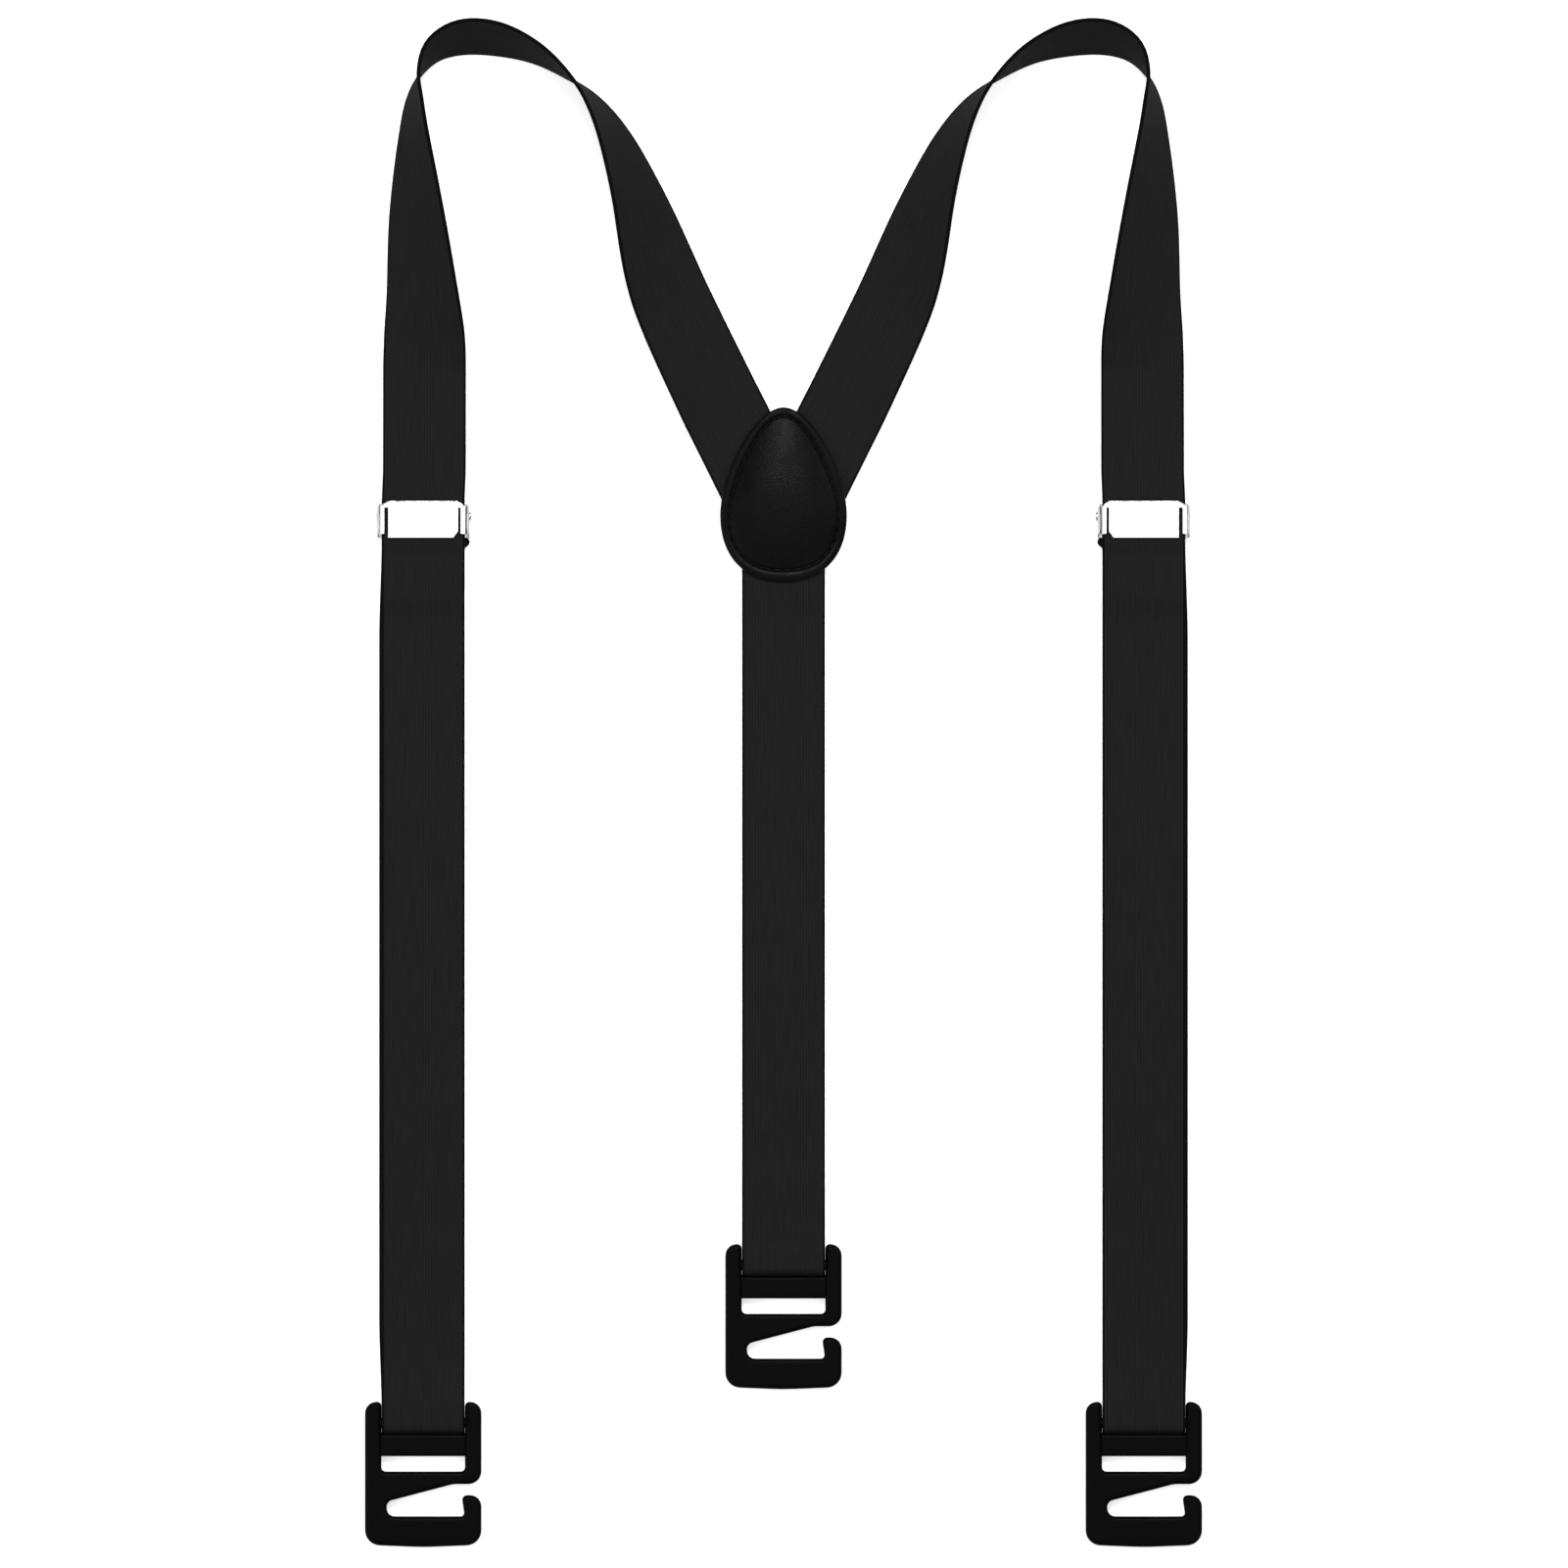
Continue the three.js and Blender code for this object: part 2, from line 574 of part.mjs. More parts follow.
function shoulderStrapGeometry() {
  const steps = 54;
  const rollLift = 0.04; // keeps the rolled edge clear of the table where the strap also climbs
  const route = new THREE.CatmullRomCurve3(
    shoulderRoute.map(([share, y]) => new THREE.Vector3(-share * frontStrapX, y, 0)), false,
    "centripetal");
  // Roll and lift follow a second curve through the same rows, read at the same share.
  const turning = new THREE.CatmullRomCurve3(
    shoulderRoute.map(([, , roll, lift]) => new THREE.Vector3(roll, 10 * lift, 0)), false, "catmullrom", 0.5);
  const stations = [];
  for (let i = 0; i <= steps; i++) {
    const share = i / steps;
    const at = route.getPoint(share);
    const along = route.getTangent(share).normalize();
    const turn = turning.getPoint(share);
    const roll = THREE.MathUtils.degToRad(turn.x);
    const rise = (strap.width / 2) * Math.sin(roll) + onTable * Math.abs(Math.cos(roll));
    const inward = new THREE.Vector3(along.y, -along.x, 0);
    const across = inward.multiplyScalar(Math.cos(roll)).add(new THREE.Vector3(0, 0, Math.sin(roll)));
    at.z = Math.max(rise + rollLift, onTable) + turn.y / 10;
    stations.push({ centre: at, across });
  }
  const strip = toSolid(bendStrip(stations, 2));
  // Under the patch the two straps meet on the middle line, and stop short of the back strap.
  const patchTop = patch.widestY + patch.topRise;
  const beyondMiddle = boxSolid([-seatGap / 2, 2 * strap.width], [0, patchTop + strap.width],
    [-1, hook.thickness * 2]);
  const belowMeeting = boxSolid([-2 * strap.width, strap.width], [0, patch.strapMeetY],
    [-1, hook.thickness * 2]);
  return toGeometry(strip.subtract(beyondMiddle).subtract(belowMeeting));
}

// ---- Front strap below the shoulder -------------------------------------------------------------
const foldY = adjusterY - adjusterHalf + adjuster.rearBar - 0.2; // axis of the fold in the rear slot
const rearFoldZ = plateZ + adjuster.sheet / 2;
const rearFoldRadius = returnOverBar - rearFoldZ;
const tailEndY = foldY - sewnTail;
const slope = 9; // length of webbing that climbs or drops by one ply
const hookSlope = 16;
const loopReach = 4; // flat webbing beyond the hook's bar

const returnLevels = [
  [foldY - adjuster.rearBar - 0.5, returnOverBar],
  [foldY - adjuster.rearBar - 5.5, onTable + ply],
  [tailEndY - 1, onTable + ply],
  [tailEndY - slope, onTable],
];
const frontLevels = [
  [foldY - adjuster.rearBar - 0.5, frontInAdjuster],
  [foldY - adjuster.rearBar - 5.5, onTable + 2 * ply],
  [tailEndY - 1, onTable + 2 * ply],
  [tailEndY - slope, onTable + ply],
  [frontBarY + loopReach + hookSlope, onTable + ply],
  [frontBarY + loopReach, overBar],
];
const upperLevels = [
  [shoulderStartY - seatGap, onTable],
  [adjusterY + adjusterHalf + 3, frontInAdjuster],
];

function hookLoopGeometry(x, barY, frontStations, tailStations) {
  const turn = foldStations(x, barY, barZ, foldRadius, -1);
  return bendStrip([...frontStations, ...turn, ...tailStations]);
}

function frontHookLoopGeometry() {
  const top = stationAt(-frontStrapX, frontBarY + loopReach, overBar);
  const bottom = stationAt(-frontStrapX, frontBarY + loopReach, onTable);
  return hookLoopGeometry(-frontStrapX, frontBarY, [top], [bottom]);
}

// The end of the strap: over the rear bar, round its edge through the slot, and back as the tail.
function sewnEndGeometry() {
  const turn = foldStations(-frontStrapX, foldY, rearFoldZ, rearFoldRadius, 1);
  const start = stationAt(-frontStrapX, foldY - adjuster.rearBar, returnOverBar);
  const end = stationAt(-frontStrapX, tailEndY, onTable);
  const stations = [start, ...turn, end].map(({ centre }) => ({
    centre,
    across: acrossDown.clone().negate(),
  }));
  return bendStrip(stations);
}

// A rectangle of thread laid on the webbing, with its lower end at y and its underside at z.
function threadBox(x, y, length, z) {
  const half = strap.width / 2 - 3;
  const width = 0.6;
  const rectangle = (inset) => [
    new THREE.Vector2(x - half + inset, y + inset),
    new THREE.Vector2(x + half - inset, y + inset),
    new THREE.Vector2(x + half - inset, y + length - inset),
    new THREE.Vector2(x - half + inset, y + length - inset),
  ];
  const shape = new THREE.Shape(rectangle(0));
  shape.holes.push(new THREE.Path(rectangle(width)));
  const geometry = new THREE.ExtrudeGeometry(shape, { depth: thread, bevelEnabled: false });
  return geometry.translate(0, 0, z);
}

// ---- Back strap ---------------------------------------------------------------------------------
const backTailEndY = backBarY + backTail + loopReach;
const backSplitY = backTailEndY + 6;
const patchBottom = patch.widestY - patch.bottomDrop;
const backLevels = [
  [patchBottom - 0.5, onPatch],
  [patchBottom - 14, onTable],
];
const backLoopLevels = [
  [backSplitY, onTable],
  [backTailEndY - 1, onTable + ply],
  [backBarY + loopReach + 8, onTable + ply],
  [backBarY + loopReach, overBar],
];

function backHookLoopGeometry() {
  const steps = 24;
  const front = Array.from({ length: steps + 1 }, (_, i) => {
    const y = THREE.MathUtils.lerp(backSplitY, backBarY + loopReach, i / steps);
    return stationAt(0, y, heightAt(y, backLoopLevels));
  });
  const tail = [stationAt(0, backTailEndY - 3, onTable)];
  return hookLoopGeometry(0, backBarY, front, tail);
}

// ---- Assembly -----------------------------------------------------------------------------------
const suspenders = new THREE.Group();

function addHook(name, x, barY) {
  const made = makeMesh(name, hookGeometry(), plastic);
  made.position.set(x, barY, barZ);
  suspenders.add(made);
}

// Everything on one side but the hook, which isn't mirrored.
function addSide(name, mirror) {
  const side = new THREE.Group();
  side.scale.x = mirror;
  const add = (piece, geometry, material) => side.add(makeMesh(`${name}_${piece}`, geometry, material));
  add("shoulder_strap", shoulderStrapGeometry(), webbing);
  add("upper_strap",
    straightRun(-frontStrapX, shoulderStartY - seatGap, adjusterY + seatGap / 2, upperLevels), webbing);
  add("front_run",
    straightRun(-frontStrapX, adjusterY - seatGap / 2, frontBarY + loopReach + seatGap, frontLevels),
    webbing);
  add("hook_loop", frontHookLoopGeometry(), webbing);
  add("return_run",
    straightRun(-frontStrapX, foldY - adjuster.rearBar - seatGap, frontBarY + loopReach + seatGap,
      returnLevels), webbing);
  add("sewn_end", sewnEndGeometry(), webbing);
  add("sewn_end_stitching",
    threadBox(-frontStrapX, tailEndY + 1.5, sewnTail - 11, onTable + ply + onTable + 0.04), sewing);

  const clip = new THREE.Group();
  clip.position.set(-frontStrapX, adjusterY, 0);
  clip.add(makeMesh(`${name}_adjuster_frame`, adjusterFrameGeometry(), steel));
  clip.add(makeMesh(`${name}_adjuster_lever`, leverGeometry(), steel));
  clip.add(makeMesh(`${name}_outer_stud`, studGeometry(-1), steel));
  clip.add(makeMesh(`${name}_inner_stud`, studGeometry(1), steel));
  side.add(clip);
  suspenders.add(side);
}

addSide("left", 1);
addSide("right", -1);
addHook("left_hook", -frontStrapX, frontBarY);
addHook("right_hook", frontStrapX, frontBarY);
addHook("back_hook", 0, backBarY);

suspenders.add(
  makeMesh("back_strap",
    straightRun(0, patch.strapMeetY - seatGap, backSplitY + seatGap, backLevels), webbing),
  makeMesh("back_hook_loop", backHookLoopGeometry(), webbing),
  makeMesh("back_loop_stitching",
    threadBox(0, backBarY + loopReach + 9, backTail - 15, onTable + ply + onTable + 0.04), sewing),
  makeMesh("back_patch", backPatchGeometry(), leather),
  makeMesh("patch_pad", padGeometry(), foam),
  makeMesh("front_patch", frontPatchGeometry(), leather),
  makeMesh("patch_stitching", patchStitchGeometry(), sewing),
);

// The origin sits at the middle of the layout, on the table.
const bounds = new THREE.Box3().setFromObject(suspenders);
const middle = bounds.getCenter(new THREE.Vector3());
suspenders.position.set(-middle.x, -middle.y, -bounds.min.z);

export default suspenders;
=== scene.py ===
# Y-back suspenders laid face up on a pale table: elastic webbing, a leather back patch,
# chrome adjusters and moulded hooks. Shapes are worked out in millimetres and stored in metres.
import math

import bmesh
import bpy
import numpy as np
from mathutils import Matrix, Vector


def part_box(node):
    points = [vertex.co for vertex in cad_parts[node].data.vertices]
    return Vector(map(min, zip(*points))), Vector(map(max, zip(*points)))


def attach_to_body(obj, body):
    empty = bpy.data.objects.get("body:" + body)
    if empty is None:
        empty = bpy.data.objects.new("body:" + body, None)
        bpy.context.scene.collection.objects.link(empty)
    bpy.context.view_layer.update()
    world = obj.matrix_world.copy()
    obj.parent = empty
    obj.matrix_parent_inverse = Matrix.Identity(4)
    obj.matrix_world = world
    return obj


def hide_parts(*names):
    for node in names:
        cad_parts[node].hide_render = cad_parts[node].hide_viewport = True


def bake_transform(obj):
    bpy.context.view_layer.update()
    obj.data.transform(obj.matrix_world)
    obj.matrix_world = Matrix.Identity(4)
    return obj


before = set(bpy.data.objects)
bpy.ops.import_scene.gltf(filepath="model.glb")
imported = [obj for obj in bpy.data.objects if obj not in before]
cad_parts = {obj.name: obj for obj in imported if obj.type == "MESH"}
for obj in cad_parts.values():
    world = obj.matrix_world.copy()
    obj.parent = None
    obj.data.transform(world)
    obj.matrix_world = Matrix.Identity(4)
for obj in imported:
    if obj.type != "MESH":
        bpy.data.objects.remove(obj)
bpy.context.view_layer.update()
scene = bpy.context.scene
mm = 0.001
print("frame loaded")


def boxOf(node):
    low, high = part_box(node)
    return low / mm, high / mm


def middleOf(node):
    low, high = boxOf(node)
    return (low + high) / 2


# where the frame puts things, in millimetres
strapX = -middleOf("left_front_run").x
adjusterY = middleOf("left_adjuster_frame").y
patchLow, patchHigh = (corner.y for corner in boxOf("back_patch"))


# ---- materials: shared effects are node groups, the shaders stay in each material ----
def fillSockets(tree, node, values):
    # a number is set on its socket and a node's output is linked to it; i2 means the third socket
    for key, value in values.items():
        numbered = key[0] == "i" and key[1:].isdigit()
        socket = node.inputs[int(key[1:]) if numbered else key.replace("_", " ")]
        if isinstance(value, bpy.types.NodeSocket):
            tree.links.new(value, socket)
        else:
            socket.default_value = value


def addNode(tree, kind, settings=None, **inputs):
    node = tree.nodes.new("ShaderNode" + kind)
    for key, value in (settings or {}).items():
        setattr(node, key, value)
    fillSockets(tree, node, inputs)
    return node


def mathNode(tree, operation, first, second=0.0, third=0.0):
    return addNode(tree, "Math", {"operation": operation}, i0=first, i1=second, i2=third).outputs[0]


def spread(tree, value, low, high, toLow=0.0, toHigh=1.0):
    return addNode(
        tree, "MapRange", {"interpolation_type": "SMOOTHSTEP"},
        Value=value, From_Min=low, From_Max=high, To_Min=toLow, To_Max=toHigh,
    ).outputs[0]


def noise(tree, where, scale, detail, **more):
    return addNode(tree, "TexNoise", Vector=where, Scale=scale, Detail=detail, **more).outputs[0]


def drawnNoise(tree, where, scale, detail, turn=0.0):
    # noise drawn out by a different amount each way, after a turn
    drawn = addNode(tree, "Mapping", Vector=where, Rotation=(0, 0, turn), Scale=scale).outputs[0]
    return noise(tree, drawn, 1.0, detail)


def archWave(tree, value):
    # rounded humps, one for each whole step of the value
    return mathNode(tree, "ABSOLUTE", mathNode(tree, "SINE", mathNode(tree, "MULTIPLY", value, math.pi)))


def newGroup(name, inputs, outputs):
    tree = bpy.data.node_groups.new(name, "ShaderNodeTree")
    for label, value in inputs.items():
        kind = "NodeSocketVector" if value is None else "NodeSocketFloat"
        socket = tree.interface.new_socket(label, in_out="INPUT", socket_type=kind)
        if value is not None:
            socket.default_value = value
    for label in outputs:
        tree.interface.new_socket(label, in_out="OUTPUT", socket_type="NodeSocketFloat")
    return tree, tree.nodes.new("NodeGroupInput").outputs, tree.nodes.new("NodeGroupOutput").inputs


def useGroup(tree, group, **inputs):
    node = tree.nodes.new("ShaderNodeGroup")
    node.node_tree = group
    fillSockets(tree, node, inputs)
    return node.outputs


def makeWeaveGroup():
    # ribs run along the webbing, picks cross them, and every other rib is set off by half a pick
    tree, given, out = newGroup(
        "ribbedWeave",
        {"Place": None, "Rib Pitch": 0.00085, "Pick Pitch": 0.0006, "Half Width": 0.0125},
        ["Height", "ToneAndRecessShade", "Selvedge"],
    )
    parts = addNode(tree, "SeparateXYZ", Vector=given["Place"]).outputs
    rib = mathNode(tree, "DIVIDE", parts[0], given["Rib Pitch"])
    oddRib = mathNode(tree, "FLOORED_MODULO", mathNode(tree, "FLOOR", rib), 2.0)
    pick = mathNode(tree, "DIVIDE", parts[1], given["Pick Pitch"])
    pickWave = archWave(tree, mathNode(tree, "MULTIPLY_ADD", oddRib, 0.5, pick))
    roundRib = mathNode(tree, "POWER", archWave(tree, rib), 0.6)
    yarn = mathNode(tree, "MULTIPLY", roundRib, mathNode(tree, "MULTIPLY_ADD", pickWave, 0.35, 0.65))
    streak = drawnNoise(tree, given["Place"], (2600, 90, 1), 3.0)
    fuzz = drawnNoise(tree, given["Place"], (9000, 5200, 1), 2.0)
    # the colour mix is random streak tone plus painted shade: the yarn term darkens the grooves between the
    # ribs
    grooveShadingAndTone = mathNode(tree, "MULTIPLY_ADD", streak, 0.7, mathNode(tree, "MULTIPLY", yarn, 0.55))
    across = mathNode(tree, "DIVIDE", mathNode(tree, "ABSOLUTE", parts[0]), given["Half Width"])
    tree.links.new(mathNode(tree, "MULTIPLY_ADD", fuzz, 0.25, yarn), out["Height"])
    tree.links.new(mathNode(tree, "SUBTRACT", grooveShadingAndTone, 0.1), out["ToneAndRecessShade"])
    tree.links.new(spread(tree, across, 0.92, 0.97), out["Selvedge"])
    return tree


def makeGrainGroup():
    # pebbled grain with finer pores and slow patches of polish
    tree, given, out = newGroup(
        "pebbleGrain", {"Place": None, "Pebble": 1300.0}, ["Height", "ToneAndRecessShade", "Patch"]
    )
    where = given["Place"]
    wobble = addNode(tree, "TexNoise", Vector=where, Scale=420.0, Detail=2.0).outputs["Color"]
    bent = addNode(
        tree, "VectorMath", {"operation": "MULTIPLY_ADD"}, i0=wobble, i1=(0.0006,) * 3, i2=where
    ).outputs[0]
    cell = addNode(
        tree, "TexVoronoi", {"feature": "DISTANCE_TO_EDGE"}, Vector=bent, Scale=given["Pebble"]
    ).outputs[0]
    pebble = spread(tree, cell, 0.0, 0.28)
    pores = noise(tree, where, 5200.0, 3.0)
    slow = noise(tree, where, 85.0, 3.0, Roughness=0.55)
    # the colour mix is slow random tone plus painted shade: the pebble term darkens the creases between
    # pebbles
    creaseShadingAndTone = mathNode(tree, "MULTIPLY_ADD", pebble, 0.5, mathNode(tree, "MULTIPLY", slow, 0.5))
    tree.links.new(mathNode(tree, "MULTIPLY_ADD", pores, 0.3, pebble), out["Height"])
    tree.links.new(creaseShadingAndTone, out["ToneAndRecessShade"])
    tree.links.new(spread(tree, slow, 0.38, 0.64), out["Patch"])
    return tree


def makeScuffGroup():
    # hairline marks in two directions, faint dust, and an uneven moulded or plated skin
    tree, given, out = newGroup(
        "handledSurface", {"Place": None, "Fineness": 1.0}, ["Marks", "Dust", "Skin"]
    )
    where = addNode(
        tree, "VectorMath", {"operation": "SCALE"}, i0=given["Place"], Scale=given["Fineness"]
    ).outputs[0]
    marks = [
        spread(tree, drawnNoise(tree, where, drawn, 1.0, turn), 0.66, 0.72)
        for turn, drawn in ((0.5, (180, 5200, 700)), (-0.9, (240, 4300, 700)))
    ]
    specks = spread(tree, noise(tree, where, 3400.0, 2.0), 0.6, 0.75)
    clouds = noise(tree, where, 130.0, 3.0)
    tree.links.new(mathNode(tree, "MAXIMUM", *marks), out["Marks"])
    tree.links.new(mathNode(tree, "MULTIPLY", specks, clouds), out["Dust"])
    tree.links.new(noise(tree, where, 1500.0, 4.0), out["Skin"])
    return tree


weaveGroup = makeWeaveGroup()
grainGroup = makeGrainGroup()
scuffGroup = makeScuffGroup()


def newMaterial(name, **constants):
    material = bpy.data.materials.new(name)
    material.use_nodes = True
    tree = material.node_tree
    shader = tree.nodes["Principled BSDF"]
    fillSockets(tree, shader, constants)
    return material, tree, shader


def mixColour(tree, share, dark, light):
    # either colour may be another node's output
    ends = [end if isinstance(end, bpy.types.NodeSocket) else (*end, 1) for end in (dark, light)]
    return addNode(tree, "Mix", {"data_type": "RGBA"}, i0=share, i6=ends[0], i7=ends[1]).outputs[2]


def bump(tree, shader, height, strength, distance):
    node = addNode(tree, "Bump", Height=height, Strength=strength, Distance=distance)
    tree.links.new(node.outputs[0], shader.inputs["Normal"])


def objectPlace(tree):
    return tree.nodes.new("ShaderNodeTexCoord").outputs["Object"]


def makeWebbing():
    look = {"dark": (0.0046,) * 3, "light": (0.0142,) * 3, "selvedge": (0.003,) * 3}
    material, tree, shader = newMaterial("elasticWebbing", Specular_IOR_Level=0.012)
    weave = useGroup(tree, weaveGroup, Place=tree.nodes.new("ShaderNodeUVMap").outputs[0])
    # darker in the weave's grooves as painted shade, with random streaks of tone
    body = mixColour(tree, weave["ToneAndRecessShade"], look["dark"], look["light"])
    tree.links.new(mixColour(tree, weave["Selvedge"], body, look["selvedge"]), shader.inputs["Base Color"])
    tree.links.new(spread(tree, weave["ToneAndRecessShade"], 0.0, 1.0, 0.92, 0.78), shader.inputs["Roughness"])
    bump(tree, shader, weave["Height"], 0.55, 0.00014)
    return material


def makeLeather(name, dark, light, gloss, depth):
    material, tree, shader = newMaterial(name, Specular_IOR_Level=0.043)
    grain = useGroup(tree, grainGroup, Place=objectPlace(tree))
    # darker in the grain's creases as painted shade, with slow random tone
    tree.links.new(mixColour(tree, grain["ToneAndRecessShade"], dark, light), shader.inputs["Base Color"])
    tree.links.new(spread(tree, grain["Patch"], 0.0, 1.0, *gloss), shader.inputs["Roughness"])
    bump(tree, shader, grain["Height"], depth, 0.00008)
    return material


def makeThread():
    material, tree, shader = newMaterial("blackThread", Specular_IOR_Level=0.12)
    fibre = drawnNoise(tree, objectPlace(tree), (5200, 900, 2400), 2.0, 0.7)
    tree.links.new(mixColour(tree, fibre, (0.002,) * 3, (0.011,) * 3), shader.inputs["Base Color"])
    tree.links.new(spread(tree, fibre, 0.2, 0.8, 0.75, 0.5), shader.inputs["Roughness"])
    bump(tree, shader, fibre, 0.4, 0.00005)
    return material


def makePlastic():
    look = {"dark": (0.0005,) * 3, "light": (0.0016,) * 3, "dust": (0.09, 0.09, 0.088), "dustShare": 0.05}
    material, tree, shader = newMaterial("mouldedPlastic", Specular_IOR_Level=0.028)
    surface = useGroup(tree, scuffGroup, Place=objectPlace(tree))
    base = mixColour(tree, surface["Skin"], look["dark"], look["light"])
    dust = mathNode(tree, "MULTIPLY", surface["Dust"], look["dustShare"])
    tree.links.new(mixColour(tree, dust, base, look["dust"]), shader.inputs["Base Color"])
    uneven = spread(tree, surface["Skin"], 0.3, 0.7, 0.36, 0.46)
    roughness = mathNode(tree, "MULTIPLY_ADD", surface["Marks"], 0.12, uneven)
    tree.links.new(roughness, shader.inputs["Roughness"])
    bump(tree, shader, surface["Skin"], 0.12, 0.00004)
    return material


def makePlated(name, bright, worn, gloss):
    material, tree, shader = newMaterial(name, Metallic=1.0)
    surface = useGroup(tree, scuffGroup, Place=objectPlace(tree), Fineness=1.4)
    tree.links.new(mixColour(tree, surface["Marks"], bright, worn), shader.inputs["Base Color"])
    dusty = spread(tree, surface["Dust"], 0.0, 0.6, *gloss)
    roughness = mathNode(tree, "MULTIPLY_ADD", surface["Marks"], 0.15, dusty)
    tree.links.new(roughness, shader.inputs["Roughness"])
    bump(tree, shader, surface["Skin"], 0.03, 0.00003)
    return material


def makeFelt():
    material, tree, shader = newMaterial("greyFelt", Specular_IOR_Level=0.1, Roughness=0.95)
    fibre = noise(tree, objectPlace(tree), 2600.0, 4.0)
    tree.links.new(mixColour(tree, fibre, (0.015,) * 3, (0.05,) * 3), shader.inputs["Base Color"])
    bump(tree, shader, fibre, 0.6, 0.0002)
    return material


materials = {
    "webbing": makeWebbing(),
    "leather": makeLeather("smoothLeather", (0.0009,) * 3, (0.0032,) * 3, (0.3, 0.42), 0.22),
    "backing": makeLeather("suedeBacking", (0.006,) * 3, (0.016,) * 3, (0.8, 0.95), 0.7),
    "thread": makeThread(),
    "plastic": makePlastic(),
    "chrome": makePlated("polishedChrome", (0.93, 0.935, 0.945), (0.8, 0.8, 0.8), (0.07, 0.2)),
    "nickel": makePlated("dullNickel", (0.44, 0.44, 0.45), (0.6, 0.6, 0.6), (0.22, 0.36)),
    "felt": makeFelt(),
}
print("materials made")


# ---- mesh helpers ----
def editMesh(mesh, change):
    # change(work) alters the mesh while it is open for editing
    work = bmesh.new()
    work.from_mesh(mesh)
    change(work)
    work.to_mesh(mesh)
    work.free()
    return mesh


def facesOutward(work):
    bmesh.ops.recalc_face_normals(work, faces=work.faces)


def finishMesh(name, mesh, material, mirror=False, sharpAngle=40, weighted=False):
    if mirror:
        mesh.transform(Matrix.Diagonal((-1, 1, 1, 1)))
    editMesh(mesh, facesOutward)
    mesh.polygons.foreach_set("use_smooth", [True] * len(mesh.polygons))
    mesh.set_sharp_from_angle(angle=math.radians(sharpAngle))
    mesh.materials.clear()
    mesh.materials.append(materials[material])
    piece = addObject(name, mesh)
    if weighted:
        modifier = piece.modifiers.new("evenNormals", "WEIGHTED_NORMAL")
        modifier.keep_sharp = True
    return piece


def attach(piece, body, node=None):
    # a piece that moves whole with one body, and the solid it stands for
    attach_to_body(piece, body)
    if node:
        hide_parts(node)


def meshFrom(name, points, faces):
    mesh = bpy.data.meshes.new(name)
    mesh.from_pydata([tuple(float(c) * mm for c in p) for p in points], [], faces)
    return mesh


def addObject(name, data, at=(0, 0, 0)):
    made = bpy.data.objects.new(name, data)
    made.location = at
    scene.collection.objects.link(made)
    return made


def smoothstep(value):
    t = np.clip(value, 0.0, 1.0)
    return t * t * (3 - 2 * t)


def unitRows(vectors):
    return vectors / np.linalg.norm(vectors, axis=1)[:, None]


def runAlong(points):
    # distance from the first point to each point, along the line
    return np.concatenate([[0], np.cumsum(np.linalg.norm(np.diff(points, axis=0), axis=1))])


def curveThrough(rows, perSpan=14):
    # a smooth curve through every row, whatever the rows hold
    rows = np.array(rows, float)
    ended = np.vstack([2 * rows[0] - rows[1], rows, 2 * rows[-1] - rows[-2]])
    made = []
    for i in range(len(rows) - 1):
        a, b, c, d = ended[i : i + 4]
        square, cube = 2 * a - 5 * b + 4 * c - d, 3 * b - a - 3 * c + d
        for t in np.arange(perSpan) / perSpan:
            made.append(0.5 * (2 * b + (c - a) * t + square * t**2 + cube * t**3))
    made.append(rows[-1])
    return np.array(made)


# ---- webbing: one closed band swept along its stations; its UVs keep the place across and along ----
webbing = {
    "width": 25.0,
    "thick": 1.2,
    "selvedge": 1.4,  # width of the firmer edge
    "rim": 0.45,  # depth of the rounded edge
    "hollow": 0.09,  # how much thinner the middle is than the edges, on each face
    "gap": 0.3,  # air between two layers
}


def webSection():
    half, t, rim = webbing["width"] / 2, webbing["thick"] / 2, webbing["rim"]
    edge, low = half - webbing["selvedge"], t - webbing["hollow"]
    face = [(-half + rim, t * 0.97), (-half + 2 * rim, t), (-edge, t - 0.03), (-edge + 0.6, low)]
    face += [(-half / 2, low + 0.02), (0, low + 0.04), (half / 2, low + 0.02)]
    face += [(-u, w) for u, w in reversed(face[:4])]
    angles = np.radians([58, 28, 0, -28, -58])
    side = [(half - rim + rim * math.cos(a), 0.97 * t * math.sin(a)) for a in angles]
    under = [(u, -w) for u, w in reversed(face)]
    return face + side + under + [(-u, -w) for u, w in side]


def webMesh(name, points, section, length):
    # points holds one ring of the section for each station, and length each station's place along the band
    count, ring = len(length), len(section)
    faces, uvs = [], []
    for i in range(count - 1):
        low, high = length[i] * mm, length[i + 1] * mm
        for j in range(ring):
            k = (j + 1) % ring
            faces.append((i * ring + j, i * ring + k, (i + 1) * ring + k, (i + 1) * ring + j))
            a, b = section[j, 0] * mm, section[k, 0] * mm
            uvs += [(a, low), (b, low), (b, high), (a, high)]
    for i, order in ((0, range(ring)), (count - 1, range(ring - 1, -1, -1))):
        faces.append(tuple(i * ring + j for j in order))
        uvs += [(section[j, 0] * mm, (length[i] + section[j, 1]) * mm) for j in order]
    mesh = meshFrom(name, points.reshape(-1, 3), faces)
    mesh.uv_layers.new(name="alongWebbing").data.foreach_set("uv", np.array(uvs).ravel())
    return mesh


def sliceAt(work, point, away, **more):
    geometry = work.verts[:] + work.edges[:] + work.faces[:]
    return bmesh.ops.bisect_plane(work, geom=geometry, plane_co=point, plane_no=away, **more)


def cutOff(mesh, origin, away):
    # takes off what lies past a plane and closes the end
    def trim(work):
        cut = sliceAt(work, Vector(origin) * mm, away, clear_outer=True, dist=1e-7)
        rims = [e for e in cut["geom_cut"] if isinstance(e, bmesh.types.BMEdge)]
        bmesh.ops.contextual_create(work, geom=rims)

    editMesh(mesh, trim)


